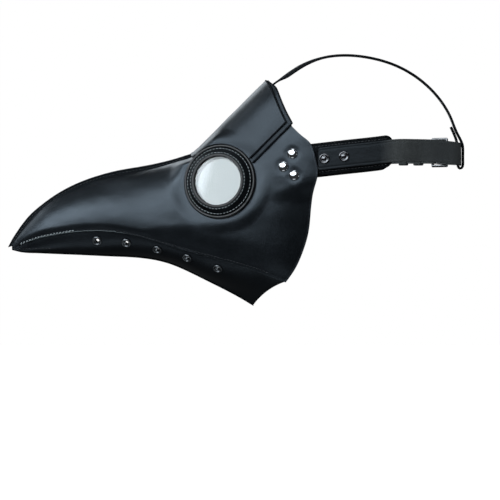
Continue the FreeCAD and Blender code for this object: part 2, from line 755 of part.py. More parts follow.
def make_short_strap():
    main = strap_solid([(-length, level) for length, level in SHORT_TRACK], STRAP_THICK, STRAP_HALF)
    back = strap_solid([(-length, level) for length, level in FOLD_TRACK], STRAP_THICK, STRAP_HALF)
    middle = strap_height(HEEL_AT)
    centre = plan(-HEEL_AT, BAR_LEVEL, middle)
    inner = SHORT_TRACK[0][1] - BAR_LEVEL - STRAP_THICK / 2
    bottom, height = centre - Vector(0, 0, STRAP_HALF), 2 * STRAP_HALF
    loop = Part.makeCylinder(inner + STRAP_THICK, height, bottom)
    loop = loop.cut(Part.makeCylinder(inner, height, bottom))
    loop = loop.common(buckle_box(HEEL_AT - 8.0, HEEL_AT, STRAP_HALF + 1.0))
    strap = main.fuse(loop).fuse(back)
    for point, outward, _ in snap_places():
        strap = strap.cut(mirrored(stem_hole(point, outward)))
    return strap.cut(buckle_box(HEEL_AT - 8.0, HEEL_AT + 6.0, PRONG_HOLE_HALF + 0.3).common(
        Part.makeCylinder(6.5, 2 * STRAP_HALF, bottom)))


def make_top_strap():
    path = SmoothPath(TOP_STRAP, by_distance=True)
    count = 110
    stations = []
    for k in range(count + 1):
        y, z = path(k / count)
        y0, z0 = path(max(k / count - 0.002, 0.0))
        y1, z1 = path(min(k / count + 0.002, 1.0))
        across = Vector(0, z0 - z1, y1 - y0).normalize() * (TOP_STRAP_THICK / 2)
        side = Vector(TOP_STRAP_HALF, 0, 0)
        middle = Vector(0, y, z)
        under, over = middle - across, middle + across
        stations.append([under - side, under + side, over + side, over - side])
    return ribbon(stations)


# ---------------------------------------------------------------- buckle and keepers

def make_buckle_frame():
    middle = strap_height(HEEL_AT)
    corners = []
    for length, rise_by in ((HEEL_AT, 1), (FRONT_BAR_AT, 1), (FRONT_BAR_AT, -1), (HEEL_AT, -1)):
        corners.append(plan(-length, BAR_LEVEL, middle + rise_by * FRAME_HALF))
    frame = Part.makeSphere(BAR_RADIUS, corners[0])
    for k in range(4):
        frame = frame.fuse(rod(BAR_RADIUS, corners[k], corners[(k + 1) % 4]))
        frame = frame.fuse(Part.makeSphere(BAR_RADIUS, corners[(k + 1) % 4]))
    return frame.removeSplitter()


def make_prong():
    middle = strap_height(HEEL_AT)
    centre = plan(-HEEL_AT, BAR_LEVEL, middle)
    bottom = centre - Vector(0, 0, PRONG_HALF)
    start = plan(-(HEEL_AT - 1.5), BAR_LEVEL + 1.0, middle)
    over_bar = BAR_LEVEL + BAR_RADIUS + PRONG_RADIUS + 0.1
    tip = plan(-(FRONT_BAR_AT - PRONG_PAST), over_bar + 0.15, middle)
    prong = Part.makeCylinder(BAR_RADIUS + PRONG_HUB, 2 * PRONG_HALF, bottom).fuse(rod(PRONG_RADIUS, start, tip))
    prong = prong.fuse(Part.makeSphere(PRONG_RADIUS, tip))
    bore = Part.makeCylinder(BAR_RADIUS + PRONG_CLEARANCE, 2 * PRONG_HALF + 2.0, bottom - Vector(0, 0, 1))
    return prong.cut(bore)


def side_bend_centre():
    """Centre of the right strap's side bend, in plan."""
    start = rear_flat + REAR_BEND * rear_turn + BUCKLE_RUN
    on_line = plan(-start, 0.0, 0.0)
    outward = (plan(-start, 1.0, 0.0) - on_line).normalize()
    return on_line - outward * SIDE_BEND


def make_keeper(length):
    """Leather loop round both straps on the side bend."""
    middle = strap_height(length)
    centre = side_bend_centre()
    inner_low, inner_high = -KEEPER_ROOM, TONGUE_LEVEL + STRAP_THICK / 2 + KEEPER_ROOM
    room = STRAP_HALF + KEEPER_SPARE
    thick = KEEPER_THICK

    def outline(low, high, half):
        points = [(low, -half), (high, -half), (high, half), (low, half), (low, -half)]
        return Part.Face(Part.makePolygon([Vector(SIDE_BEND + r, 0, z) for r, z in points]))

    rim = outline(inner_low - thick, inner_high + thick, room + thick).cut(outline(inner_low, inner_high, room))
    spread = math.degrees(KEEPER_WIDTH / SIDE_BEND)
    loop = rim.revolve(Vector(0, 0, 0), Vector(0, 0, 1), spread)
    on_line = plan(-length, 0.0, 0.0) - centre
    turn = math.degrees(math.atan2(on_line.y, on_line.x)) - spread / 2
    loop.Placement = FreeCAD.Placement(centre + Vector(0, 0, middle), FreeCAD.Rotation(Vector(0, 0, 1), turn))
    return loop


# ---------------------------------------------------------------- assembly

side_panel = make_side_panel()
side_panel = side_panel.cut(rod(SOCKET_OUT + 0.2, EYE - EYE_AXIS * 15.0, EYE + EYE_AXIS * 15.0))
for place, outward, _ in cheek_rivet_places():
    side_panel = side_panel.cut(stem_hole(place, outward))

lower_panel = make_lower_panel()
for place, outward in vent_places():
    lower_panel = lower_panel.cut(rod(EYELET_TUBE, place - outward * 8.0, place + outward * 8.0))

pairs = {
    "side_panel": [side_panel],
    "lower_panel": [lower_panel],
    "strap_tab": [make_tab()],
    "cheek_rivets": [dome_rivet(p, n, RIVET_RADIUS, depth) for p, n, depth in cheek_rivet_places()],
    "strap_snaps": [dome_rivet(p, n, SNAP_RADIUS, depth) for p, n, depth in snap_places()],
    "vent_eyelets": [eyelet(p, n) for p, n in vent_places()],
}
for name, profile in EYE_PROFILES.items():
    pairs[name] = [ring(profile, EYE, EYE_AXIS)]
for name, solids in pairs.items():
    export(name + "_left", solids)
    export(name + "_right", [mirrored(solid) for solid in solids])

backing_face = SKIN_GAP + BACKING_THICK
brow_back = backing_face + LAYER_GAP
export("brow_panel", [make_brow_layer(0.0, brow_back, brow_back + BROW_THICK)])
export("brow_backing", [make_brow_layer(BACKING_MARGIN, SKIN_GAP, backing_face)])
export("ridge_seam", [make_ridge_seam()])
export("keel_seam", [make_keel_seam()])
export("long_strap", [make_long_strap()])
export("short_strap", [make_short_strap()])
export("top_strap", [make_top_strap()])
export("buckle_frame", [make_buckle_frame()])
export("buckle_prong", [make_prong()])
export("fixed_keeper", [make_keeper(FIXED_KEEPER_AT)])
export("sliding_keeper", [make_keeper(SLIDING_KEEPER_AT)])
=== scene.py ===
"""Plague doctor mask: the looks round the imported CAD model. Shapes are worked out in millimetres."""
import math
import random

import bpy
import bmesh
from mathutils import Matrix, Vector, noise


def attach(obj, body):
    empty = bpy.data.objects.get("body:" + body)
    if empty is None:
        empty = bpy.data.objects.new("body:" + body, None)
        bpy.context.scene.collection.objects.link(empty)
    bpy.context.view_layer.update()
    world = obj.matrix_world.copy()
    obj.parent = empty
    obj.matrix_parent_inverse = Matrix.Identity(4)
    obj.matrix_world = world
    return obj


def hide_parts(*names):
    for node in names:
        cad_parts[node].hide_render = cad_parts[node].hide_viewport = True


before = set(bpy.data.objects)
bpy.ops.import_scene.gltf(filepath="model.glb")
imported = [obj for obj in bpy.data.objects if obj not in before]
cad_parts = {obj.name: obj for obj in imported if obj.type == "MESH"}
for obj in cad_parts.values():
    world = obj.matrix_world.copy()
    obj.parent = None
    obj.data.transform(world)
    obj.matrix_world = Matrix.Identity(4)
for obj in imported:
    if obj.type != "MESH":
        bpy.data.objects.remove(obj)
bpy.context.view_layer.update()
MM = 0.001
SHARP = 40.0                    # an edge of more degrees than this is shaded sharp
BEVEL_FROM = 55.0               # and one of more than this is bevelled, on the pieces that have a bevel
SIDES = ((1, "left"), (-1, "right"))

# ---------------------------------------------------------------- dimensions shared with the CAD, in mm

LEATHER = 2.0
MEDIAN_GAP = 1.6                # half the space between the panels, which the seams fill
SEAM_DEEP = 1.6
BRIDGE_Y = -97.0                # behind this the ridge is under the brow
KEEL_PROUD = 1.4

# (y, z) on the ridge and on the lower seam at each station, from the beak's tip to the cheek.
STATIONS = [
    ((-278.0, -64.5), (-278.0, -67.0)),
    ((-268.0, -51.0), (-268.0, -63.5)),
    ((-255.0, -35.0), (-255.0, -58.8)),
    ((-235.0, -18.5), (-235.0, -54.5)),
    ((-210.0, -6.0), (-210.0, -51.3)),
    ((-180.0, 3.5), (-180.0, -51.4)),
    ((-150.0, 9.0), (-150.0, -57.0)),
    ((-122.0, 15.5), (-122.0, -65.6)),
    ((-97.0, 23.6), (-99.0, -72.7)),
    ((-82.0, 33.5), (-80.0, -78.0)),
    ((-60.0, 50.0), (-56.0, -85.0)),
    ((-37.0, 64.5), (-31.0, -93.5)),
    ((-17.0, 76.0), (-5.7, -104.0)),
]
# (y, z) along the top edge of the ridge's fin, along the keel, and down the cheek's rear edge.
FIN_TOP = [
    (-282.0, -67.4), (-278.6, -60.6), (-270.5, -48.0), (-262.0, -37.0), (-250.0, -26.0), (-230.0, -12.0),
    (-210.0, -2.0), (-190.0, 5.0), (-170.0, 10.0), (-150.0, 13.4), (-130.0, 17.4),
    (-112.0, 22.2), (-101.0, 25.6), (-99.0, 26.1),
]
KEEL = [
    (-278.0, -68.6), (-268.0, -71.0), (-255.0, -71.8), (-235.0, -72.6), (-210.0, -73.6), (-180.0, -75.0),
    (-150.0, -76.6), (-122.0, -82.0), (-99.0, -91.6), (-82.0, -100.0), (-66.0, -108.0), (-51.0, -116.0),
    (-36.5, -124.6),
]
# How square the underside's section is at each point of the keel.
KEEL_SQUARE = [0.5, 0.8, 0.85, 0.85, 0.85, 0.85, 0.85, 0.85, 0.85, 0.8, 0.7, 0.5, 0.2]
CHIN_CURVE = (-24.0, -108.0)
CHEEK_EDGE = [
    (-17.0, 76.0), (-8.0, 62.0), (0.6, 53.0), (10.5, 43.5), (20.0, 34.5), (24.5, 20.0), (26.8, 8.0),
    (24.5, -4.0), (20.3, -18.0), (18.4, -36.0), (16.5, -54.0), (12.0, -71.0), (4.5, -89.0), (-5.7, -104.0),
]
TOP_LINE = [top for top, _ in STATIONS[:8]] + [
    (-110.0, 19.0), (-99.0, 22.5), (-88.0, 30.5), (-70.0, 48.5), (-50.0, 68.5), (-30.0, 88.5), (10.0, 128.5),
    (40.0, 158.5),
]
SEAM_LINE = [seam for _, seam in STATIONS] + [(20.0, -113.0), (40.0, -119.0)]
# Along y: half the width, how bluntly it rounds over from the ridge, and how far it is tucked in at the seam.
WIDTH = [
    (-278.0, 1.5), (-268.0, 6.0), (-250.0, 13.5), (-230.0, 20.0), (-190.0, 31.0), (-150.0, 40.0),
    (-110.0, 48.0), (-70.0, 58.0), (-35.0, 68.0), (0.0, 76.0), (30.0, 81.0),
]
BLUNT = [
    (-278.0, 0.8), (-230.0, 0.72), (-190.0, 0.66), (-150.0, 0.52), (-125.0, 0.36), (-107.0, 0.22),
    (-95.0, 0.17), (-70.0, 0.165), (-30.0, 0.19), (30.0, 0.19),
]
TUCK = [(-278.0, 0.05), (-190.0, 0.09), (-110.0, 0.10), (-70.0, 0.115), (-30.0, 0.18), (30.0, 0.26)]
ROUNDING = 2.2
TUCK_POWER = 4
SPREAD_TO_RIDGE = 1.25

BROW_START = -54.5
BRIDGE_REACH = 6.0
FOLD_DEPTH = 0.6
FOLD_POWER = 5.5
# (d, s) along the brow's rear edge: d down the side from the fold, s back along it.
BROW_REAR = [(0.0, 52.6), (10.0, 49.7), (20.0, 45.3), (35.0, 39.2), (46.0, 35.8)]
BROW_DEPTH = 41.5
BROW_THICK = 1.5
BACKING_THICK = 1.4
BACKING_MARGIN = 4.6
LAYER_GAP = 0.2
SKIN_GAP = 0.55
BROW_BASE = -83.8

CHEEK_CURL = 110.0              # radius of the cheek where it curls round to the rear
CURL_FROM = (10.0, 40.0)        # where that curl starts high on the cheek, and how far forward it moves below
SEAM_TURN = (1.4, 2.1)          # how far the skin turns under at the lower seam, plus this at the rear
TURN_HEIGHT = (8.0, 20.0)       # how high above the seam that turn starts, plus this at the rear
RIVET_DIMPLE = 0.75
RIVET_DIMPLE_OUT = 9.5
SOFT_RELIEF = 0.55
FINE_RELIEF = 0.16
PUCKER_DEEP = 0.35              # puckers between the stitches near the beak's tip
PUCKER_PITCH = 3.6
PUCKER_FROM = -215.0
TIP_Y = -278.0
TIP_PARED = 0.3                 # share of its thickness that the leather keeps at the tip
PARED_OVER = 24.0
CHEEK_FROM = 0.62               # share of the panel's length from which its rows lean to the cheek's edge
FULLER_FROM = -155.0            # y from which the lower turn grows to its size at the rear
FULLER_OVER = 55.0
SEAM_PARED = 0.28
LOWER_LAP = 2.4                 # how far the lower panel reaches up behind the seam
HEM_AT = 5.2                    # groove behind the brow's front edge
HEM_WIDE = 0.55
HEM_DEEP = 0.32
# radius of the black cord along the brow's edges, which is edge paint and painted shade
EDGE_SHADE_RADIUS = 0.95

EYE = Vector((54.0, -69.5, -2.3))
EYE_TILT = 19.5
EYE_RISE = 21.0
EYE_FLAT = 39.0
EYE_BLEND = 52.0
EYE_TOP_FADE = 0.06
BEAD_OUT = 37.3
PORT_BORE = 27.3

CHEEK_RIVETS = [(1.8, 25.3), (-7.1, 12.6), (3.5, 3.9)]
RIVET_RADIUS = 5.0
SNAP_LENGTHS = [178.2, 158.8]
SNAP_RADIUS = 5.2
VENT_BORE = 3.0
STEM_RADIUS = 1.5
VENTS = [(-192.4, -60.7), (-163.2, -62.8), (-132.2, -69.5), (-102.3, -77.9), (-71.9, -88.3)]

REAR_Y = 169.5
SIDE_X = 77.5
REAR_BEND = 45.0
REAR_TURN = math.radians(40.0)
BUCKLE_RUN = 27.0
SIDE_BEND = 65.0
SIDE_TURN = math.radians(50.0)
FACE_CURVE = 480.0
# Height of the straps' middle for the length along them from the middle of the back.
STRAP_HEIGHT = [
    (0.0, 25.3), (36.0, 26.9), (63.0, 28.2), (90.0, 28.5), (110.0, 28.1), (120.0, 26.8), (150.0, 23.4),
    (185.0, 19.5), (228.0, 14.8),
]
STRAP_THICK = 1.5
STRAP_HALF = 11.2
TAB_THICK = 3.6
TAB_HALF = 16.2
TAB_ROUND = 8.9
TAB_END = 110.0
TAB_FRONT = 227.0
HEEL_AT = 60.5
BAR_LEVEL = 1.4
BAR_FOLD = 2.45                 # middle of the strap folded round the bar, from the bar's axis
# (length, level outside the strap line) of the strap's tongue through the buckle and keepers, of the short
# strap and of the short strap's folded end.
TONGUE_TRACK = [
    (26.0, 0.85), (30.0, 0.6), (34.0, -0.5), (38.0, -1.35), (42.0, -1.4), (46.0, -1.3), (50.0, -0.7),
    (52.5, 0.2), (54.5, 1.6), (56.0, 3.4), (57.6, 4.95), (59.6, 5.65), (62.5, 5.85), (66.0, 5.7),
    (70.0, 4.9), (74.0, 3.5), (77.0, 2.8), (80.0, 2.65), (90.0, 2.65), (102.0, 2.65), (115.0, 2.65),
]
SHORT_TRACK = [
    (60.5, 3.85), (64.0, 3.8), (67.0, 3.4), (70.0, 2.6), (73.0, 1.6), (76.0, 1.0), (80.0, 0.85), (90.0, 0.85),
    (105.0, 0.85), (125.0, 0.85), (145.0, 0.85), (165.0, 0.85), (184.0, 0.85),
]
FOLD_TRACK = [(60.5, -1.05), (64.0, -1.05), (68.0, -1.05), (73.0, -1.05)]
LONG_LEVEL = 0.85
LONG_FRONT = 184.0
TONGUE_ROUND = 8.5
PRONG_HOLE = (52.2, 59.4)
PRONG_HOLE_HALF = 1.8
SPARE_HOLES = [10.0, 24.0, 70.5, 104.5]
SPARE_HOLE_RADIUS = 1.8
FIXED_KEEPER_AT = 80.0
SLIDING_KEEPER_AT = 96.5
KEEPER_WIDTH = 8.0
KEEPER_THICK = 1.3
# (y, z) from under the brow over the head to the rear, round the back strap and up again inside.
TOP_STRAP = [
    (-31.0, 85.3), (-23.5, 90.6), (-14.5, 97.2), (-5.0, 104.2), (10.0, 114.0), (30.0, 121.6), (54.0, 124.6),
    (80.0, 122.1), (106.0, 114.3), (130.0, 100.2), (149.0, 81.4), (161.0, 61.4), (166.6, 47.5),
    (170.0, 41.0), (172.4, 35.0), (172.9, 27.0), (172.9, 19.0), (172.7, 14.4), (171.8, 12.3), (170.35, 11.5),
    (168.9, 12.3), (167.9, 14.4), (167.7, 19.0), (167.6, 27.0), (167.2, 35.0), (165.9, 41.0), (163.5, 47.0),
    (160.8, 53.0),
]
TOP_STRAP_HALF = 8.0
TOP_STRAP_THICK = 2.3
UNDER_BROW_SLIM = 0.75          # share of its thickness that the strap keeps under the brow
TOP_STRAP_CLEAR = -14.0         # y at which it leaves the brow
TOP_STRAP_DROOP = 2.6           # how far its edges bend down just behind the brow
PAD_BORDER = 3.4                # the tab's stitch line, in from its edge
KEEPER_ROUND = 1.2

MIDDLE_SLOPE = 0.22             # the middle line of the mask's inside: rise for each metre towards the rear,
MIDDLE_LEVEL = -0.010           # and its height at y = 0, in metres


# ---------------------------------------------------------------- curves and the mask's skin

class SmoothCurve:
    """Natural cubic spline through (x, value) points, straight beyond its ends."""

    def __init__(self, points):
        self.points = points
        count = len(points)
        self.bend = [0.0] * count
        upper = [0.0] * count
        right = [0.0] * count
        for k in range(1, count - 1):
            before = points[k][0] - points[k - 1][0]
            after = points[k + 1][0] - points[k][0]
            jump = (points[k + 1][1] - points[k][1]) / after - (points[k][1] - points[k - 1][1]) / before
            pivot = 2.0 * (before + after) - before * upper[k - 1]
            upper[k] = after / pivot
            right[k] = (6.0 * jump - before * right[k - 1]) / pivot
        for k in range(count - 2, 0, -1):
            self.bend[k] = right[k] - upper[k] * self.bend[k + 1]

    def end_slope(self, k):
        (x0, v0), (x1, v1) = self.points[k], self.points[k + 1]
        span = x1 - x0
        chord = (v1 - v0) / span
        if k == 0:
            return chord - span * self.bend[1] / 6.0
        return chord + span * self.bend[k] / 6.0

    def __call__(self, x):
        points = self.points
        if x <= points[0][0]:
            return points[0][1] + (x - points[0][0]) * self.end_slope(0)
        if x >= points[-1][0]:
            return points[-1][1] + (x - points[-1][0]) * self.end_slope(len(points) - 2)
        k = 0
        while x > points[k + 1][0]:
            k += 1
        (x0, v0), (x1, v1) = points[k], points[k + 1]
        span = x1 - x0
        a = (x1 - x) / span
        b = 1.0 - a
        curved = (a ** 3 - a) * self.bend[k] + (b ** 3 - b) * self.bend[k + 1]
        return a * v0 + b * v1 + curved * span * span / 6.0


class SmoothPath:
    """Smooth curve through points, run from 0 to 1 by equal steps between them or by their distance."""

    def __init__(self, points, by_distance=False):
        places = [0.0]
        for before, after in zip(points, points[1:]):
            places.append(places[-1] + (math.dist(before, after) if by_distance else 1.0))
        self.length = places[-1]
        self.parts = []
        for axis in range(len(points[0])):
            self.parts.append(SmoothCurve([(at / places[-1], p[axis]) for at, p in zip(places, points)]))

    def __call__(self, u):
        return tuple(part(u) for part in self.parts)


def ease(x):
    """Smooth step from 0 at 0 to 1 at 1."""
    x = min(max(x, 0.0), 1.0)
    return x * x * (3.0 - 2.0 * x)


top_line = SmoothCurve(TOP_LINE)
seam_line = SmoothCurve(SEAM_LINE)
width_along = SmoothCurve(WIDTH)
blunt_along = SmoothCurve(BLUNT)
tuck_along = SmoothCurve(TUCK)
strap_height = SmoothCurve(STRAP_HEIGHT)

tilt, rise = math.radians(EYE_TILT), math.radians(EYE_RISE)
EYE_AXIS = Vector((math.cos(tilt), -math.sin(tilt) * math.cos(rise), math.sin(tilt) * math.sin(rise)))


def half_width(y, z):
    """X of the left skin's outer face at a point of the side view."""
    top = top_line(y)
    down = min(max((top - z) / (top - seam_line(y)), 0.0), 1.15)
    rounded = (1.0 - max(1.0 - down, 0.0) ** ROUNDING) ** blunt_along(y)
    wide = MEDIAN_GAP + width_along(y) * (rounded - tuck_along(y) * down ** TUCK_POWER)
    near = math.hypot(y - EYE.y, z - EYE.z)
    pull = ease((EYE_BLEND - near) / (EYE_BLEND - EYE_FLAT)) * ease(down / EYE_TOP_FADE)
    seat = EYE.x - (EYE_AXIS.y * (y - EYE.y) + EYE_AXIS.z * (z - EYE.z)) / EYE_AXIS.x
    return wide + pull * (seat - wide)


def skin_frame(y, z):
    """Point and outward normal of the left side panel's face at a point of the side view."""
    slope_y = (half_width(y + 1, z) - half_width(y - 1, z)) / 2.0
    slope_z = (half_width(y, z + 1) - half_width(y, z - 1)) / 2.0
    return Vector((half_width(y, z), y, z)), Vector((1.0, -slope_y, -slope_z)).normalized()


def grid_normals(grid):
    """Outward unit normals of a left hand grid of points, by differences between neighbours."""
    rows, columns = len(grid), len(grid[0])
    normals = []
    for i in range(rows):
        line = []
        for j in range(columns):
            along = grid[min(i + 1, rows - 1)][j] - grid[max(i - 1, 0)][j]
            across = grid[i][min(j + 1, columns - 1)] - grid[i][max(j - 1, 0)]
            line.append(across.cross(along).normalized())
        normals.append(line)
    return normals


# ---------------------------------------------------------------- mesh making

def place_object(name, data):
    obj = bpy.data.objects.new(name, data)
    bpy.context.scene.collection.objects.link(obj)
    return obj


def mesh_of(name, verts, faces):
    """Mesh from vertices in mm, its faces turned outwards."""
    mesh = bpy.data.meshes.new(name)
    mesh.from_pydata([tuple(c * MM for c in v) for v in verts], [], faces)
    bm = bmesh.new()
    bm.from_mesh(mesh)
    bmesh.ops.remove_doubles(bm, verts=bm.verts, dist=1e-7)
    bmesh.ops.recalc_face_normals(bm, faces=bm.faces)
    if bm.calc_volume(signed=True) < 0.0:
        bmesh.ops.reverse_faces(bm, faces=bm.faces)
    bm.to_mesh(mesh)
    bm.free()
    return mesh


def shade(obj, sharp):
    """Smooth shading, except at edges of more than `sharp` degrees."""
    obj.data.shade_smooth()
    obj.data.set_sharp_from_angle(angle=math.radians(sharp))


def declare(obj, stands_for, body):
    """Hangs a piece on its body's empty and hides the CAD nodes that it stands for."""
    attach(obj, body)
    if stands_for:
        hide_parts(*stands_for)


def make_piece(name, verts, faces, material, slot, stands_for=(), body="mask", bevel=0.0, sharp=SHARP):
    """Object from vertices in mm, riding on a CAD body."""
    obj = place_object(name, mesh_of(name, verts, faces))
    obj.data.materials.append(material)
    if bevel:
        edge = obj.modifiers.new("edge", "BEVEL")
        edge.width = bevel * MM
        edge.segments = 2
        edge.limit_method = "ANGLE"
        edge.angle_limit = math.radians(BEVEL_FROM)
        bake_modifiers(obj)
    shade(obj, sharp)
    declare(obj, stands_for, body)
    return obj


def make_pair(name, verts, faces, material, slot, node=None):
    """A left piece and its mirror image, standing for the CAD nodes of both sides."""
    for side, tag in SIDES:
        placed = verts if side > 0 else mirrored(verts)
        make_piece(name + "_" + tag, placed, faces, material, slot, [node + "_" + tag] if node else [])


def right_twin(obj, name, stands_for):
    """The right hand copy of a finished left hand piece."""
    mesh = obj.data.copy()
    mesh.transform(Matrix.Diagonal((-1.0, 1.0, 1.0, 1.0)))
    mesh.flip_normals()
    declare(place_object(name, mesh), stands_for, "mask")


def bake_modifiers(obj):
    """Replaces the mesh by what its modifiers make of it."""
    graph = bpy.context.evaluated_depsgraph_get()
    mesh = bpy.data.meshes.new_from_object(obj.evaluated_get(graph))
    obj.modifiers.clear()
    obj.data = mesh


def shell(outer, inner):
    """Vertices and faces of the closed sheet between two matching grids."""
    rows, columns = len(outer), len(outer[0])
    verts = [p for line in outer for p in line] + [p for line in inner for p in line]
    back = rows * columns
    faces = []
    for i in range(rows - 1):
        for j in range(columns - 1):
            a, b = i * columns + j, (i + 1) * columns + j
            faces.append((a, b, b + 1, a + 1))
            faces.append((back + a, back + a + 1, back + b + 1, back + b))
    rim = [(0, j) for j in range(columns)] + [(i, columns - 1) for i in range(1, rows)]
    rim += [(rows - 1, j) for j in range(columns - 2, -1, -1)] + [(i, 0) for i in range(rows - 2, 0, -1)]
    for (i0, j0), (i1, j1) in zip(rim, rim[1:] + rim[:1]):
        a, b = i0 * columns + j0, i1 * columns + j1
        faces.append((a, b, back + b, back + a))
    return verts, faces


def mirrored(verts):
    """The same points on the other side of the mask."""
    return [Vector((-v[0], v[1], v[2])) for v in verts]


def turn_to(axis, reference=Vector((0, 0, 1))):
    """Rotation whose Z is the axis and whose X is as near the reference as it can be."""
    across = (reference - axis * reference.dot(axis)).normalized()
    return Matrix((across, axis.cross(across), axis)).transposed()


def lathe(profile, origin, axis, segments=96, shape=None):
    """Vertices and faces of a closed (radius, height) outline turned about an axis."""
    turn = turn_to(axis)
    verts, faces, rings = [], [], []
    for r, h in profile:
        if r <= 0.0:
            rings.append([len(verts)] * segments)
            verts.append(origin + turn @ Vector((0, 0, h)))
            continue
        rings.append(list(range(len(verts), len(verts) + segments)))
        for k in range(segments):
            angle = 2 * math.pi * k / segments
            radius, height = shape(r, h, angle) if shape else (r, h)
            verts.append(origin + turn @ Vector((radius * math.cos(angle), radius * math.sin(angle), height)))
    for low, high in zip(rings, rings[1:] + rings[:1]):
        for k in range(segments):
            n = (k + 1) % segments
            corners = [low[k], low[n], high[n], high[k]]
            corners = [c for at, c in enumerate(corners) if c != corners[at - 1]]
            if len(corners) > 2:
                faces.append(corners)
    return verts, faces


def arc(centre, radius, start, end, steps):
    """Points of an arc in a (radius, height) outline, angles in degrees."""
    points = []
    for k in range(steps + 1):
        angle = math.radians(start + (end - start) * k / steps)
        points.append((centre[0] + radius * math.cos(angle), centre[1] + radius * math.sin(angle)))
    return points


def sweep(rings):
    """Vertices and faces of a closed tube through rings of matching points."""
    size = len(rings[0])
    verts = [p for ring in rings for p in ring]
    faces = [tuple(range(size)), tuple(len(verts) - 1 - k for k in range(size))]
    for i in range(len(rings) - 1):
        for k in range(size):
            n = (k + 1) % size
            faces.append((i * size + k, i * size + n, (i + 1) * size + n, (i + 1) * size + k))
    return verts, faces


def add_parts(parts):
    """One list of vertices and faces from several."""
    verts, faces = [], []
    for part_verts, part_faces in parts:
        base = len(verts)
        verts += part_verts
        faces += [tuple(base + k for k in face) for face in part_faces]
    return verts, faces


def round_ring(centre, across, up, radius, sides):
    """Points of a circle in the plane of two unit directions."""
    angles = [2 * math.pi * k / sides for k in range(sides)]
    return [centre + across * (radius * math.cos(a)) + up * (radius * math.sin(a)) for a in angles]


def thread(start, end, up, radius):
    """One stitch: a short thread that rises out of the leather and goes back in."""
    sides, steps = 6, 6
    along = (end - start).normalized()
    across = along.cross(up).normalized()
    rings = []
    for i in range(steps + 1):
        t = i / steps
        arch = math.sin(math.pi * t)
        middle = start.lerp(end, t) + up * (radius * (arch * 0.75 - 0.5))
        rings.append(round_ring(middle, across, up, radius * (0.55 + 0.45 * arch), sides))
    return sweep(rings)


def stitch_row(points, normals, pitch, length, radius, slant, seed):
    """Stitches along a polyline on a surface; slant turns each one across the line."""
    draw = random.Random(seed)
    parts = []
    travelled, wanted = 0.0, pitch / 2
    for k in range(len(points) - 1):
        step = points[k + 1] - points[k]
        span = step.length
        while wanted <= travelled + span:
            t = (wanted - travelled) / span
            middle = points[k].lerp(points[k + 1], t)
            up = normals[k].lerp(normals[k + 1], t).normalized()
            along = step.normalized()
            across = up.cross(along)
            angle = slant + draw.uniform(-0.05, 0.05)
            aim = along * math.cos(angle) + across * math.sin(angle)
            reach = length * draw.uniform(0.46, 0.52)
            parts.append(thread(middle - aim * reach, middle + aim * reach, up, radius))
            wanted += pitch
        travelled += span
    return add_parts(parts)


def cut_with(obj, verts, faces):
    """Takes a closed shape, in mm, out of a piece."""
    cutter = place_object("cutter", mesh_of("cutter", verts, faces))
    cut = obj.modifiers.new("cut", "BOOLEAN")
    cut.operation = "DIFFERENCE"
    cut.solver = "EXACT"
    cut.object = cutter
    bake_modifiers(obj)
    bpy.data.objects.remove(cutter)
    shade(obj, SHARP)


def plug_shape(point, outward, radius, below, above, segments=40):
    """A closed cylinder about an outward axis, for a stem or for cutting a round hole."""
    outline = [(0.0, -below), (radius, -below), (radius, above), (0.0, above)]
    return lathe(outline, point, outward, segments)


# ---------------------------------------------------------------- materials

class Shader:
    """A node material with a few shortcuts."""

    def __init__(self, name):
        self.material = bpy.data.materials.new(name)
        self.material.use_nodes = True
        self.nodes = self.material.node_tree.nodes
        self.links = self.material.node_tree.links
        self.skin = self.nodes["Principled BSDF"]
        self.coords = self.nodes.new("ShaderNodeTexCoord").outputs
        self.place = self.coords["Object"]

    def node(self, kind, **inputs):
        node = self.nodes.new("ShaderNode" + kind)
        for key, value in inputs.items():
            self.feed(node.inputs[key.replace("_", " ")], value)
        return node

    def feed(self, socket, value):
        if hasattr(value, "is_output"):
            self.links.new(value, socket)
        else:
            socket.default_value = value

    def stretched(self, scale):
        return self.node("Mapping", Vector=self.place, Scale=scale).outputs[0]

    def noise(self, scale, detail=3.0, rough=0.5, place=None):
        node = self.node("TexNoise", Vector=place or self.place, Scale=scale, Detail=detail, Roughness=rough)
        return node.outputs["Fac"]

    def cells(self, scale):
        node = self.node("TexVoronoi", Vector=self.place, Scale=scale)
        node.feature = "DISTANCE_TO_EDGE"
        return node.outputs["Distance"]

    def remap(self, value, low, high, start=0.0, end=1.0):
        """Carries `start` to `end` over to `low` to `high`, held at its ends."""
        node = self.node("MapRange", Value=value)
        node.inputs["From Min"].default_value = start
        node.inputs["From Max"].default_value = end
        node.inputs["To Min"].default_value = low
        node.inputs["To Max"].default_value = high
        return node.outputs[0]

    def math(self, how, a, b):
        node = self.nodes.new("ShaderNodeMath")
        node.operation = how
        self.feed(node.inputs[0], a)
        self.feed(node.inputs[1], b)
        return node.outputs[0]

    def vector_math(self, how, *values):
        node = self.nodes.new("ShaderNodeVectorMath")
        node.operation = how
        for socket, value in zip(node.inputs, values):
            self.feed(socket, value)
        return node.outputs

    def mix(self, factor, a, b):
        node = self.nodes.new("ShaderNodeMix")
        node.data_type = "RGBA"
        self.feed(node.inputs["Factor"], factor)
        self.feed(node.inputs["A"], (*a, 1.0) if isinstance(a, tuple) else a)
        self.feed(node.inputs["B"], (*b, 1.0) if isinstance(b, tuple) else b)
        return node.outputs["Result"]

    def bump(self, height, depth, strength=1.0, after=None):
        node = self.node("Bump", Height=height, Distance=depth, Strength=strength)
        if after is not None:
            self.links.new(after, node.inputs["Normal"])
        return node.outputs[0]

    def set(self, **values):
        for key, value in values.items():
            self.feed(self.skin.inputs[key.replace("_", " ")], value)
        return self.material


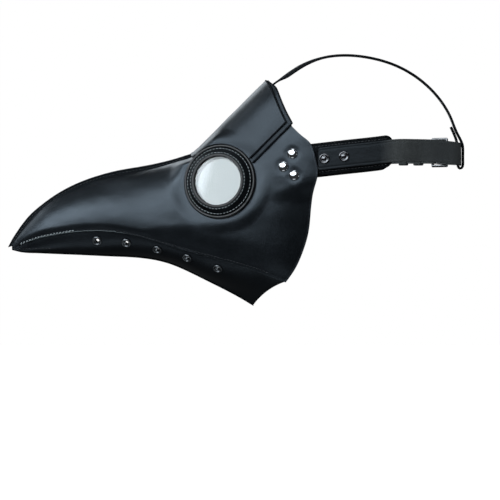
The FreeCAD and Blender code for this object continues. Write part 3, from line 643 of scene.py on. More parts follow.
def facing_in(look):
    """1 on the faces that look towards the middle line of the mask and 0 on its outside."""
    place = look.node("SeparateXYZ", Vector=look.place).outputs
    middle = look.math("ADD", look.math("MULTIPLY", place["Y"], MIDDLE_SLOPE), MIDDLE_LEVEL)
    arm = look.node("CombineXYZ", X=place["X"], Z=look.math("SUBTRACT", place["Z"], middle)).outputs[0]
    reach = look.vector_math("NORMALIZE", arm)["Vector"]
    turned = look.vector_math("DOT_PRODUCT", reach, look.coords["Normal"])["Value"]
    return look.remap(turned, 0.0, 1.0, -0.15, -0.35)


def leather_look(name, dark, light, rough, grain=900.0, depth=0.00010, worn=(0.03, 0.034, 0.04), gloss=0.5,
                 over_tab_shade=None, lined=False):
    """Coated leather: pebbled grain, soft cloudy colour, rubbed raised edges and uneven gloss.

    The strap's darker colour where it lies on the tabs, in front of y = 88 to 104 mm, is painted shade.
    A `lined` sheet shows its dull, napped flesh side on the inside of the mask.
    """
    look = Shader(name)
    cloud = look.noise(34.0, 4.0, 0.6)
    fine = look.noise(420.0, 3.0, 0.6)
    colour = look.mix(look.remap(cloud, 0.0, 1.0, 0.3, 0.7), dark, light)
    speck = look.remap(fine, 0.86, 1.14, 0.3, 0.7)
    tone = look.node("HueSaturation", Color=colour, Value=speck).outputs[0]
    # painted shade: a strap turns to its darker colour in front of y = 88 to 104 mm, over the tabs
    if over_tab_shade:
        along = look.node("SeparateXYZ", Vector=look.place).outputs["Y"]
        tone = look.mix(look.remap(along, 0.0, 1.0, 0.088, 0.104), over_tab_shade, tone)
    rub = look.remap(look.node("NewGeometry").outputs["Pointiness"], 0.0, 1.0, 0.53, 0.60)
    rub = look.math("MULTIPLY", rub, look.remap(look.noise(160.0, 4.0, 0.7), 0.2, 1.0, 0.35, 0.65))
    tone = look.mix(rub, tone, worn)
    pebble = look.cells(grain)
    crumple = look.noise(grain * 0.32, 5.0, 0.62)
    height = look.math("ADD", look.math("MULTIPLY", pebble, 1.2), look.math("MULTIPLY", crumple, 0.8))
    skin = look.bump(height, depth, 0.7)
    skin = look.bump(look.noise(70.0, 3.0, 0.5), 0.0006, 0.35, skin)
    gloss_map = look.math("ADD", look.remap(cloud, rough - 0.045, rough + 0.045, 0.3, 0.7),
                          look.remap(pebble, 0.05, -0.02, 0.0, 0.35))
    if lined:
        inside = facing_in(look)
        nap = look.noise(300.0, 5.0, 0.7)
        flesh = look.mix(look.remap(nap, 0.0, 1.0, 0.3, 0.7), (0.040, 0.040, 0.041), (0.085, 0.084, 0.083))
        tone = look.mix(inside, tone, flesh)
        gloss_map = look.math("MAXIMUM", gloss_map, look.math("MULTIPLY", inside, 0.85))
    look.set(Base_Color=tone, Roughness=gloss_map, Normal=skin, Specular_IOR_Level=gloss,
             Specular_Tint=(0.74, 0.87, 1.0, 1.0))
    return look.material


def thread_look(name, dark, light):
    """Twisted bonded thread."""
    look = Shader(name)
    twist = look.noise(2600.0, 2.0, 0.5)
    look.set(Base_Color=look.mix(look.remap(twist, 0.0, 1.0, 0.35, 0.65), dark, light), Roughness=0.5,
             Normal=look.bump(twist, 0.00008, 0.6), Sheen_Weight=0.25, Sheen_Roughness=0.4)
    return look.material


def metal_look(name, tint, rough, smudge=0.06, scratch=0.3):
    """Plated metal with faint smudges and hairline scratches."""
    look = Shader(name)
    smudges = look.noise(240.0, 4.0, 0.6)
    hairs = look.noise(900.0, 2.0, 0.5, look.stretched((1.0, 9.0, 0.6)))
    colour = look.mix(look.remap(smudges, 0.0, 1.0, 0.35, 0.7), tint, tuple(c * 0.84 for c in tint))
    look.set(Base_Color=colour, Metallic=1.0, Roughness=look.remap(smudges, rough, rough + smudge, 0.35, 0.7),
             Normal=look.bump(hairs, 0.00002, scratch))
    return look.material


def plastic_look(name, dark, light, rough, grain=1400.0, depth=0.00004):
    """Moulded plastic or rubber with a fine spark-eroded texture."""
    look = Shader(name)
    cloud = look.noise(60.0, 3.0, 0.5)
    fine = look.noise(grain, 3.0, 0.6)
    look.set(Base_Color=look.mix(look.remap(cloud, 0.0, 1.0, 0.3, 0.7), dark, light),
             Roughness=look.remap(fine, rough - 0.06, rough + 0.06, 0.3, 0.7),
             Normal=look.bump(fine, depth, 0.6))
    return look.material


def lens_look(name):
    """Thin clear lens: light passes nearly straight through, with a soft grey film and a clear reflection."""
    look = Shader(name)
    nodes, links = look.nodes, look.links
    film = look.noise(45.0, 3.0, 0.5)
    through = nodes.new("ShaderNodeBsdfTransparent")
    tint = look.mix(look.remap(film, 0.0, 1.0, 0.35, 0.7), (0.806, 0.830, 0.835), (0.778, 0.806, 0.811))
    look.feed(through.inputs["Color"], tint)
    gloss = nodes.new("ShaderNodeBsdfGlossy")
    gloss.inputs["Color"].default_value = (1.0, 1.0, 1.0, 1.0)
    gloss.inputs["Roughness"].default_value = 0.10
    fresnel = look.node("Fresnel", IOR=1.6)
    both = nodes.new("ShaderNodeMixShader")
    links.new(fresnel.outputs[0], both.inputs[0])
    links.new(through.outputs[0], both.inputs[1])
    links.new(gloss.outputs[0], both.inputs[2])
    out = nodes["Material Output"]
    links.new(both.outputs[0], out.inputs["Surface"])
    nodes.remove(look.skin)
    return look.material


PANEL = leather_look("panel_leather", (0.0030, 0.0036, 0.0044), (0.0052, 0.0060, 0.0072), 0.34, lined=True)
BROW = leather_look("brow_leather", (0.0028, 0.0033, 0.0040), (0.0048, 0.0055, 0.0066), 0.36,
                    gloss=0.36, lined=True)
BACKING = leather_look("backing_leather", (0.0022, 0.0025, 0.0030), (0.0040, 0.0044, 0.0050), 0.42,
                       gloss=0.34, lined=True)
SEAM = leather_look("seam_leather", (0.0014, 0.0015, 0.0018), (0.0026, 0.0028, 0.0032), 0.6,
                    grain=1200.0, gloss=0.10)
TAB = leather_look("tab_leather", (0.0022, 0.0025, 0.0028), (0.0040, 0.0043, 0.0048), 0.5,
                   grain=1000.0, gloss=0.05, worn=(0.006, 0.0065, 0.0072))
# the strap's darker colour over the tabs is painted shade
STRAP = leather_look("strap_leather", (0.044, 0.046, 0.045), (0.066, 0.068, 0.066), 0.46, grain=1300.0,
                     depth=0.00006, gloss=0.28, worn=(0.05, 0.052, 0.05), over_tab_shade=(0.0055, 0.0058, 0.006))
TOP = leather_look("top_strap_leather", (0.0026, 0.0028, 0.0030), (0.0040, 0.0043, 0.0046), 0.5,
                   grain=1300.0, depth=0.00006, gloss=0.08)
BAND = leather_look("band_leather", (0.0016, 0.0018, 0.0021), (0.0030, 0.0033, 0.0038), 0.50,
                    grain=1300.0, gloss=0.16)
# matt black edge cord on the brow sheets: edge paint, and painted shade for the dark groove along each edge
EDGE_PAINT_SHADE = leather_look("edge_paint_shade", (0.0010, 0.0011, 0.0012), (0.0018, 0.0019, 0.0021), 0.7,
                    grain=1600.0, gloss=0.04)
BEAD = plastic_look("bead_vinyl", (0.0035, 0.0038, 0.0044), (0.006, 0.0065, 0.0075), 0.40)
# pale teal-grey cord: painted highlight along the seam's edge near the tip
CORD = plastic_look("seam_cord", (0.10, 0.125, 0.135), (0.15, 0.18, 0.19), 0.42)
RUBBER = plastic_look("lip_rubber", (0.004, 0.004, 0.0045), (0.008, 0.008, 0.009), 0.5)
PLASTIC = plastic_look("socket_plastic", (0.012, 0.012, 0.013), (0.02, 0.02, 0.021), 0.45)
THREAD = thread_look("black_thread", (0.012, 0.013, 0.015), (0.035, 0.038, 0.042))
# pale blue-grey thread; near the beak's tip its pale colour is painted highlight for stitches catching the
# light
SEAM_THREAD = thread_look("seam_thread", (0.22, 0.25, 0.26), (0.36, 0.39, 0.40))
STEEL = metal_look("polished_steel", (0.82, 0.82, 0.83), 0.10)
BLACK_NICKEL = metal_look("black_nickel", (0.16, 0.16, 0.168), 0.16)
GUNMETAL = metal_look("gunmetal", (0.19, 0.20, 0.21), 0.30)
BUCKLE_METAL = metal_look("buckle_nickel", (0.50, 0.50, 0.51), 0.18)
LENS = lens_look("clear_lens")


# ---------------------------------------------------------------- camera, floor and lights

FLOOR_LEVEL = -0.42
ROOM_RADIUS = 16.0
LIGHT_TARGET = (0.0, -0.06, -0.02)
COOL = (0.86, 0.94, 1.0)


def add_camera():
    """The photographer's place: level, square to the wearer's left side and far away."""
    lens = bpy.data.cameras.new("camera")
    lens.sensor_width = 36.0
    lens.lens = 432.0
    lens.clip_start, lens.clip_end = 0.1, 200.0
    camera = place_object("camera", lens)
    camera.location = (6.0, -0.040, -0.070)
    camera.rotation_euler = (math.radians(90), 0, math.radians(90))
    bpy.context.scene.camera = camera


def add_softbox(name, turned, raised, distance, size, power):
    """An oval softbox: `turned` degrees from +X towards +Y, `raised` above the horizon, aimed at the mask."""
    light = bpy.data.lights.new(name, "AREA")
    light.shape = "ELLIPSE"
    light.size, light.size_y = size
    light.energy = power
    light.color = COOL
    a, e = math.radians(turned), math.radians(raised)
    target = Vector(LIGHT_TARGET)
    obj = place_object(name, light)
    facing = Vector((math.cos(a) * math.cos(e), math.sin(a) * math.cos(e), math.sin(e)))
    obj.location = target + distance * facing
    obj.rotation_euler = (target - obj.location).to_track_quat("-Z", "Y").to_euler()
    obj.visible_camera = False


def stage_look(name, colour, glow):
    """A pale matt surface that glows by `glow` under the mask and fully far away, so no horizon shows."""
    look = Shader(name)
    fine = look.noise(6.0, 2.0, 0.5)
    soiled = tuple(c * 0.985 for c in colour)
    look.set(Base_Color=look.mix(look.remap(fine, 0.0, 1.0, 0.4, 0.6), colour, soiled), Roughness=0.9)
    look.skin.inputs["Emission Color"].default_value = (1.0, 1.0, 1.0, 1.0)
    far = look.vector_math("LENGTH", look.place)["Value"]
    look.feed(look.skin.inputs["Emission Strength"], look.remap(far, glow, 1.0, 0.5, 2.2))
    return look.material


def stage_piece(name, build, material):
    """An object of the room, which lights and reflections don't see."""
    mesh = bpy.data.meshes.new(name)
    bm = bmesh.new()
    build(bm)
    bm.to_mesh(mesh)
    bm.free()
    mesh.materials.append(material)
    obj = place_object(name, mesh)
    obj.visible_diffuse = False
    obj.visible_glossy = False
    obj.visible_transmission = False
    obj.visible_shadow = False
    return obj


def floor_disc(bm):
    bmesh.ops.create_circle(bm, cap_ends=True, radius=ROOM_RADIUS, segments=64)
    bmesh.ops.translate(bm, verts=bm.verts, vec=(0, 0, FLOOR_LEVEL))


def room_dome(bm):
    bmesh.ops.create_uvsphere(bm, u_segments=64, v_segments=32, radius=ROOM_RADIUS)


def add_stage():
    """A pale floor that runs out to a pale dome all round, near enough for every view's far clipping."""
    floor = stage_piece("floor", floor_disc, stage_look("pale_floor", (0.86, 0.86, 0.86), 0.78))
    dome = stage_piece("backdrop", room_dome, stage_look("pale_backdrop", (0.0, 0.0, 0.0), 1.0))


def add_lights():
    """Soft light from the front left, with weaker light from all round to show the other sides."""
    add_softbox("key", -28.0, 27.0, 2.4, (3.2, 2.1), 62.0)
    add_softbox("strip", -46.0, 22.0, 2.3, (0.56, 1.6), 11.0)
    add_softbox("key_right", 208.0, 24.0, 2.6, (2.2, 1.1), 14.0)
    add_softbox("side_right", 212.0, -4.0, 2.5, (2.6, 0.7), 16.0)
    add_softbox("top", -20.0, 84.0, 2.3, (1.4, 1.4), 10.0)
    add_softbox("front", -100.0, 30.0, 2.6, (1.4, 1.4), 13.0)
    add_softbox("bounce", -20.0, -66.0, 2.4, (1.6, 1.3), 4.0)
    add_softbox("rear", 100.0, 40.0, 2.6, (1.4, 1.4), 12.0)
    add_softbox("rear_low", 92.0, -12.0, 2.6, (1.6, 0.9), 7.0)
    world = bpy.data.worlds.new("studio")
    world.use_nodes = True
    background = world.node_tree.nodes["Background"]
    background.inputs["Color"].default_value = (0.16, 0.17, 0.18, 1.0)
    background.inputs["Strength"].default_value = 0.20
    bpy.context.scene.world = world
    bpy.context.scene.view_settings.view_transform = "Standard"


add_camera()
add_stage()
add_lights()


# ---------------------------------------------------------------- leather panels

RIVET_PLACES = [skin_frame(y, z) for y, z in CHEEK_RIVETS]


def side_lines(rows, columns):
    """The left side panel's outer face, in rows from the ridge to the seam, tip first and cheek last."""
    tops = SmoothPath([top for top, _ in STATIONS])
    seams = SmoothPath([seam for _, seam in STATIONS])
    cheek = SmoothPath(CHEEK_EDGE)
    first, last = cheek(0.0), cheek(1.0)
    shares = [(j / columns) ** SPREAD_TO_RIDGE for j in range(columns + 1)]
    edges = [cheek(v) for v in shares]
    grid = []
    for i in range(rows + 1):
        u = i / rows
        top, seam = tops(u), seams(u)
        if top[0] < BRIDGE_Y:
            top = (top[0], top_line(top[0]))
        follow = ease((u - CHEEK_FROM) / (1.0 - CHEEK_FROM))
        line = []
        for v, edge in zip(shares, edges):
            y = (1 - v) * top[0] + v * seam[0] + follow * (edge[0] - (1 - v) * first[0] - v * last[0])
            z = (1 - v) * top[1] + v * seam[1] + follow * (edge[1] - (1 - v) * first[1] - v * last[1])
            line.append(Vector((half_width(y, z), y, z)))
        grid.append(line)
    return grid


def turned_under(y, z):
    """How far the skin is drawn in: along the lower seam, and where the cheek curls round to the rear."""
    back = ease((y - FULLER_FROM) / FULLER_OVER)
    above_seam = max(z - seam_line(y), 0.0)
    reach = TURN_HEIGHT[0] + TURN_HEIGHT[1] * back
    drawn = (SEAM_TURN[0] + SEAM_TURN[1] * back) * ease(1.0 - above_seam / reach)
    low = ease((5.0 - z) / 30.0)
    behind = max(y - CURL_FROM[0] + CURL_FROM[1] * low, 0.0)
    return drawn + behind ** 2 / (2.0 * CHEEK_CURL)


def side_relief(point, v):
    """How far the side panel's face stands out from its smooth shape, `v` of the way from ridge to seam."""
    lift = 0.0
    for centre, _ in RIVET_PLACES:
        away = (point - centre).length
        if away < RIVET_DIMPLE_OUT:
            lift -= RIVET_DIMPLE * ease((RIVET_DIMPLE_OUT - away) / 5.0)
    soft = noise.noise(Vector((point.y * 0.030, point.z * 0.045, 3.0)))
    fine = noise.noise(Vector((point.y * 0.085, point.z * 0.11, 7.0)))
    calm = ease((math.hypot(point.y - EYE.y, point.z - EYE.z) - 38.0) / 16.0)
    lift += calm * (SOFT_RELIEF * soft + FINE_RELIEF * fine) * ease(v / 0.1) * ease((1.0 - v) / 0.08)
    tip = ease((PUCKER_FROM - point.y) / 30.0)
    pucker = 0.5 + 0.5 * math.cos(point.y * 2 * math.pi / PUCKER_PITCH)
    lift -= PUCKER_DEEP * tip * ease((0.10 - v) / 0.06) * pucker
    lift -= SEAM_PARED * ease((v - 0.955) / 0.03)
    return lift - turned_under(point.y, point.z)


def panel_shell(grid, relief, thickness):
    """Outer and inner grids of a panel with its relief, pared thin at the beak's tip."""
    columns = len(grid[0]) - 1
    normals = grid_normals(grid)
    outer, inner = [], []
    for i, line in enumerate(grid):
        outside, inside = [], []
        for j, point in enumerate(line):
            lift = relief(point, j / columns)
            outside.append(point + normals[i][j] * lift)
            pared = TIP_PARED + (1.0 - TIP_PARED) * ease((point.y - TIP_Y) / PARED_OVER)
            deep = point - normals[i][j] * (thickness * pared - lift)
            inside.append(Vector((max(deep.x, MEDIAN_GAP), deep.y, deep.z)))
        outer.append(outside)
        inner.append(inside)
    return outer, inner


def make_side_panels():
    """Both side panels, with the eye port cut out; gives the left one's outer face."""
    grid = side_lines(236, 76)
    outer, inner = panel_shell(grid, side_relief, LEATHER)
    verts, faces = shell(outer, inner)
    left = make_piece("beak_side_left", verts, faces, PANEL, "leather", ["side_panel_left"], bevel=0.45)
    cut_with(left, *plug_shape(EYE, EYE_AXIS, PORT_BORE, below=15.0, above=15.0, segments=96))
    right_twin(left, "beak_side_right", ["side_panel_right"])
    return outer


def lower_lines(rows, columns):
    """The left lower panel's outer face, from behind the seam down to the keel."""
    tuck_in = LEATHER + 0.1
    seams = SmoothPath([seam for _, seam in STATIONS])
    keels = SmoothPath(KEEL)
    square = SmoothPath([(k,) for k in KEEL_SQUARE])
    grid = []
    for i in range(rows + 1):
        u = i / rows
        seam, keel = seams(u), keels(u)
        rear = ease((u - 0.7) / 0.3)
        wide = max(half_width(*seam) - turned_under(*seam) - tuck_in, MEDIAN_GAP + 0.5)
        start = Vector((wide, seam[0], seam[1] + LOWER_LAP))
        end = Vector((MEDIAN_GAP, keel[0], keel[1]))
        drop = square(u)[0] * (seam[1] - keel[1])
        pull = Vector((0.85 * wide, 0.5 * (seam[0] + keel[0]), seam[1] - drop))
        pull = pull + rear * (Vector((0.78 * wide, CHIN_CURVE[0], CHIN_CURVE[1])) - pull)
        line = []
        for j in range(columns + 1):
            v = j / columns
            line.append(start * (1 - v) ** 2 + pull * (2 * v * (1 - v)) + end * v ** 2)
        grid.append(line)
    return grid


def lower_relief(point, v):
    """How far the lower panel's face stands out from its smooth shape."""
    soft = noise.noise(Vector((point.y * 0.035, point.z * 0.05, 13.0)))
    return 0.4 * soft * ease(v / 0.2) * ease((1.0 - v) / 0.2)


def on_lower(grid, normals, y, z):
    """Point and outward normal of the lower panel where it passes a point of the side view."""
    best = None
    for i, line in enumerate(grid):
        for j, p in enumerate(line):
            gap = math.hypot(p.y - y, p.z - z)
            if best is None or gap < best[0]:
                best = (gap, i, j)
    _, i, j = best
    near, outward = grid[i][j], normals[i][j]
    x = near.x - (outward.y * (y - near.y) + outward.z * (z - near.z)) / outward.x
    return Vector((x, y, z)), outward


def make_lower_panels():
    """Both lower panels, with the vents cut out; gives the left one's face and the vents' places."""
    grid = lower_lines(150, 44)
    normals = grid_normals(grid)
    outer, inner = panel_shell(grid, lower_relief, LEATHER)
    verts, faces = shell(outer, inner)
    places = [on_lower(grid, normals, y, z) for y, z in VENTS]
    left = make_piece("beak_under_left", verts, faces, PANEL, "leather", ["lower_panel_left"], bevel=0.4)
    bores = [plug_shape(point, outward, VENT_BORE, below=6.0, above=6.0, segments=32)
             for point, outward in places]
    cut_with(left, *add_parts(bores))
    right_twin(left, "beak_under_right", ["lower_panel_right"])
    return grid, places


def brow_point(s, d):
    """(y, z) of the point `s` along the crest of the brow and `d` down from it, which rises at 45 degrees."""
    root = math.sqrt(0.5)
    return root * (s + d + BROW_BASE), root * (s - d - BROW_BASE)


def bridge_lift(s, d):
    """How far a brow point is raised to pass over the bridge, where the top line leaves 45 degrees."""
    y, z = brow_point(s, 0.0)
    return max(top_line(y) - z, 0.0) * (1.0 - ease(d / BRIDGE_REACH))


def brow_lines(margin, rows, half_columns):
    """Points of the skin under the brow, over the forehead, with their (s, d)."""
    rear = SmoothCurve(BROW_REAR)
    depth = BROW_DEPTH + margin
    dense = [depth * (k / 900) ** 4 for k in range(901)]
    track = [(half_width(*brow_point(5.0, d)) - MEDIAN_GAP, d) for d in dense]
    lengths = [0.0]
    for (x0, d0), (x1, d1) in zip(track, track[1:]):
        lengths.append(lengths[-1] + math.hypot(x1 - x0, d1 - d0))
    depths, k = [], 0
    for j in range(half_columns + 1):
        wanted = lengths[-1] * j / half_columns
        while k < 900 and lengths[k] < wanted:
            k += 1
        depths.append(dense[k])
    fold = next(j for j, d in enumerate(depths) if d > FOLD_DEPTH)
    grid, places = [], []
    for i in range(rows + 1):
        half, at = [], []
        for j, d in enumerate(depths):
            if j < fold:
                d = depths[fold] * (j / fold) ** FOLD_POWER
            beyond = margin * (0.25 + 0.75 * ease(d / 12.0))
            s = BROW_START + (rear(d) + beyond - BROW_START) * i / rows
            y, z = brow_point(s, d)
            z += bridge_lift(s, d)
            half.append(Vector((half_width(y, z), y, z)))
            at.append((s, d))
        for j in range(fold):
            half[j].x = half[fold].x * j / fold
        grid.append(half[:0:-1] + mirrored(half))
        places.append(at[:0:-1] + at)
    return grid, places


def brow_layer(name, margin, low, high, material, node, hem):
    """One folded sheet over the forehead, cut round both eye ports."""
    rows, half_columns = 190, 70
    grid, places = brow_lines(margin, rows, half_columns)
    normals = grid_normals(grid)
    outer, inner = [], []
    for i in range(rows + 1):
        outside, inside = [], []
        for j in range(2 * half_columns + 1):
            s, d = places[i][j]
            point, up = grid[i][j], normals[i][j] * -1.0
            lift = 0.35 * noise.noise(Vector((point.x * 0.03, s * 0.035, d * 0.06)))
            fade = ease(i / 16) * ease((rows - i) / 16)
            lift *= fade * ease(min(j, 2 * half_columns - j) / 8)
            if hem:
                from_front = s - BROW_START
                lift -= HEM_DEEP * math.exp(-((from_front - HEM_AT) / HEM_WIDE) ** 2)
            outside.append(point + up * (high + lift))
            inside.append(point + up * (low + lift * 0.4))
        outer.append(outside)
        inner.append(inside)
    verts, faces = shell(outer, inner)
    slot = "leather" if hem else "backing_leather"
    obj = make_piece(name, verts, faces, material, slot, [node], bevel=0.38)
    for side in (1, -1):
        centre = Vector((side * EYE.x, EYE.y, EYE.z))
        axis = Vector((side * EYE_AXIS.x, EYE_AXIS.y, EYE_AXIS.z))
        cut_with(obj, *plug_shape(centre, axis, BEAD_OUT + 0.4, below=20.0, above=40.0, segments=128))
    # black cord along the sheet's edges: edge paint and painted shade
    edge_paint_and_shade(name + "_edge", outer, inner)


def off_the_port(point):
    """Whether a point on the left lies clear of the eye port."""
    across = point - EYE
    across = across - EYE_AXIS * across.dot(EYE_AXIS)
    return across.length > BEAD_OUT + 1.0


def edge_paint_and_shade(name, outer, inner):
    """Black cord along the cut side and rear edges of a brow sheet, except where the eye port is: edge paint,
    and painted shade that darkens the groove under each edge.
    """
    last = len(outer[0]) - 1
    path = [(i, last) for i in range(len(outer))]
    path += [(len(outer) - 1, j) for j in range(last - 1, last // 2 - 1, -1)]
    runs, run = [], []
    for i, j in path:
        top, under = outer[i][j], inner[i][j]
        point = Vector((abs(top.x), top.y, top.z)).lerp(Vector((abs(under.x), under.y, under.z)), 0.35)
        if off_the_port(point):
            run.append(point)
        elif run:
            runs.append(run)
            run = []
    runs.append(run)
    parts = []
    for line in runs:
        if len(line) < 3:
            continue
        rings = []
        for k, point in enumerate(line):
            along = (line[min(k + 1, len(line) - 1)] - line[max(k - 1, 0)]).normalized()
            side = along.cross(Vector((1, 0, 0))).normalized()
            up = side.cross(along)
            rings.append(round_ring(point, side, up, EDGE_SHADE_RADIUS, 8))
        parts.append(sweep(rings))
    make_pair(name, *add_parts(parts), EDGE_PAINT_SHADE, "leather")


side_outer = make_side_panels()
lower_grid_points, vent_places = make_lower_panels()
backing_face = SKIN_GAP + BACKING_THICK
brow_back = backing_face + LAYER_GAP
brow_layer("brow_backing_sheet", BACKING_MARGIN, SKIN_GAP, backing_face, BACKING, "brow_backing", False)
brow_layer("brow_sheet", 0.0, brow_back, brow_back + BROW_THICK, BROW, "brow_panel", True)


# ---------------------------------------------------------------- ridge and keel seams

def dense_path(points, step):
    """Points every `step` mm along a smooth path."""
    path = SmoothPath(points, True)
    count = max(int(path.length / step), 8)
    return [path(k / count) for k in range(count + 1)]


# Half of a fin's section as (x in mm, share of its height), from its root to the groove between the plies.
FIN_SECTION = [
    (1.75, 0.0), (1.75, 0.26), (1.5, 0.34), (1.22, 0.42), (1.17, 0.62), (1.1, 0.8), (0.98, 0.92),
    (0.8, 0.985), (0.55, 1.0), (0.3, 0.965), (0.12, 0.9), (0.0, 0.86),
]
FIN_ROUGH = 0.03
FIN_STEP = 1.6


def make_fin(name, edge, foot, node):
    """Two plies pressed together on the median plane, their cut edges showing along the top."""
    section = FIN_SECTION + [(-x, f) for x, f in reversed(FIN_SECTION[:-1])]
    rings = []
    for (y1, z1), (y0, z0) in zip(edge, foot):
        wave = 0.05 * noise.noise(Vector((y1 * 0.35, 0.0, 5.0)))
        ring = []
        for x, f in section:
            out = f + (FIN_ROUGH * noise.noise(Vector((y1 * 0.6, x * 2.0, 2.0))) if f > 0.8 else 0.0)
            ring.append(Vector((x + wave * f, y0 + (y1 - y0) * out, z0 + (z1 - z0) * out)))
        rings.append(ring)
    verts, faces = sweep(rings)
    make_piece(name, verts, faces, SEAM, "seam_leather", [node], sharp=60.0)


def fin_stitches(name, edge, foot):
    """A row of stitches along the middle of both faces of a fin."""
    count = len(edge)
    parts = []
    for side in (1, -1):
        line = []
        for k in range(int(count * 0.03), int(count * 0.97)):
            (y1, z1), (y0, z0) = edge[k], foot[k]
            line.append(Vector((side * 1.2, (y0 + y1) / 2, (z0 + z1) / 2)))
        normals = [Vector((side, 0, 0))] * len(line)
        parts.append(stitch_row(line, normals, pitch=3.4, length=2.4, radius=0.30, slant=0.12 * side,
                                seed=5 + side))
    make_piece(name, *add_parts(parts), THREAD, "seam_leather")


RIDGE = [top for top, _ in STATIONS[:9]]
fin_edge = dense_path(FIN_TOP, FIN_STEP)
ridge_path = SmoothPath(RIDGE, True)
fin_foot = [ridge_path(k / (len(fin_edge) - 1)) for k in range(len(fin_edge))]
fin_foot = [(y, z - SEAM_DEEP) for y, z in fin_foot]
make_fin("ridge_fin", fin_edge, fin_foot, "ridge_seam")
fin_stitches("ridge_stitches", fin_edge, fin_foot)

keel_foot = dense_path(KEEL, FIN_STEP)
keel_edge = [(y, z - KEEL_PROUD) for y, z in keel_foot]
keel_root = [(y, z + SEAM_DEEP) for y, z in keel_foot]
make_fin("keel_fin", keel_edge, keel_root, "keel_seam")


# ---------------------------------------------------------------- the seam along the beak's lower edge

def seam_line_points(outer, share):
    """Points and normals along the side panel's face, a share of the way down it."""
    normals = grid_normals(outer)
    columns = len(outer[0]) - 1
    place = share * columns
    j = min(int(place), columns - 1)
    t = place - j
    line = [row[j].lerp(row[j + 1], t) for row in outer]
    ups = [row[j].lerp(row[j + 1], t).normalized() for row in normals]
    return line, ups


def stitch_between(name, line, ups, start, end, material, **stitches):
    """Stitches on both sides of the mask along the part of a line whose y is between start and end."""
    keep = [k for k, p in enumerate(line) if start <= p.y < end]
    row = stitch_row([line[k] for k in keep], [ups[k] for k in keep], **stitches)
    make_pair(name, *row, material, "seam_leather")


def make_seam_stitches():
    """Pale hand stitches near the tip, their pale colour painted highlight for stitches that catch the light,
    and fine dark ones along the rest of the seam.
    """
    line, ups = seam_line_points(side_outer, 0.988)
    # pale thread near the tip: painted highlight
    stitch_between("seam_stitches", line, ups, -270.0, -214.0, SEAM_THREAD,
                   pitch=3.3, length=3.0, radius=0.62, slant=0.5, seed=11)
    stitch_between("seam_thread", line, ups, -214.0, -20.0, THREAD,
                   pitch=3.4, length=2.9, radius=0.30, slant=0.1, seed=12)


def make_seam_piping():
    """The turned edge under the seam: a thin cord, thicker along the front half of the beak, its pale
    teal-grey colour painted highlight where the seam's edge catches the light.
    """
    line, normals = seam_line_points(side_outer, 1.0)
    rings = []
    for k, (point, up) in enumerate(zip(line, normals)):
        if not -268.0 < point.y < -12.0:
            continue
        along = (line[min(k + 1, len(line) - 1)] - line[k - 1]).normalized()
        down = along.cross(up).normalized()
        if down.z > 0:
            down = down * -1.0
        strong = ease((point.y + 268.0) / 10.0) * (1.0 - ease((point.y + 180.0) / 35.0))
        radius = 0.25 + 0.55 * strong
        centre = point - up * 0.75 + down * 0.10
        rings.append(round_ring(centre, down, up, radius, 8))
    make_pair("seam_cord", *sweep(rings), CORD, "seam_leather")


def make_tip_stitches():
    """A second row of stitches low on the under panel near the tip."""
    normals = grid_normals(lower_grid_points)
    j = int((len(lower_grid_points[0]) - 1) * 0.62)
    line = [row[j] for row in lower_grid_points]
    ups = [row[j] for row in normals]
    stitch_between("tip_stitches", line, ups, -272.0, -238.0, THREAD,
                   pitch=3.4, length=2.3, radius=0.3, slant=0.1, seed=21)


make_seam_stitches()
make_seam_piping()
make_tip_stitches()


# ---------------------------------------------------------------- eye ports

def eye_piece(name, node, profile, material, slot, segments, shape=None):
    """A (radius, height) outline turned about the axis of each eye port."""
    make_pair(name, *lathe(profile, EYE, EYE_AXIS, segments, shape), material, slot, node)


def ring_stitches(name, radius, height, count, length, thick, tilt_out, seed):
    """A ring of stitches round the port; `tilt_out` turns them outwards on the band's slope."""
    turn = turn_to(EYE_AXIS)
    draw = random.Random(seed)
    parts = []
    for k in range(count):
        angle = 2 * math.pi * (k + draw.uniform(-0.05, 0.05)) / count
        reach = length / radius / 2
        ends = []
        for a in (angle - reach, angle + reach):
            ends.append(EYE + turn @ Vector((radius * math.cos(a), radius * math.sin(a), height)))
        up = turn @ Vector((math.cos(angle) * tilt_out, math.sin(angle) * tilt_out, 1.0)).normalized()
        parts.append(thread(ends[0], ends[1], up, thick))
    make_pair(name, *add_parts(parts), SEAM_THREAD, "band_leather")


def band_shape(r, h, angle):
    """The band is gathered a little as it turns round the port, so it is full of fine radial wrinkles."""
    across = ease((33.4 - r) / 2.0) * ease((r - 27.6) / 1.6)
    wrinkle = noise.noise(Vector((math.cos(angle) * 14.0, math.sin(angle) * 14.0, r * 0.10)))
    fine = noise.noise(Vector((math.cos(angle) * 42.0, math.sin(angle) * 42.0, r * 0.12)))
    lift = across * (0.16 * wrinkle + 0.08 * fine)
    return r + lift * 0.7, h + lift


def bead_shape(r, h, angle):
    """Piping whose two ends butt together low at the back of the port."""
    joint = abs((angle - BEAD_JOINT + math.pi) % (2 * math.pi) - math.pi) * BEAD_RADIUS
    pinch = 0.30 * math.exp(-(joint / 0.7) ** 2)
    wave = 0.05 * noise.noise(Vector((math.cos(angle) * 9.0, math.sin(angle) * 9.0, 1.0)))
    return BEAD_RADIUS + (r - BEAD_RADIUS) * (1 - pinch) + wave, 1.6 + (h - 1.6) * (1 - pinch)


BEAD_JOINT = math.radians(232.0)
BEAD_RADIUS = 35.6
bead_profile = [(r, max(h, 0.15)) for r, h in arc((BEAD_RADIUS, 1.55), 1.72, 0, 360, 20)[:-1]]
eye_piece("eye_piping", "eye_bead", bead_profile, BEAD, "bead_vinyl", 240, bead_shape)

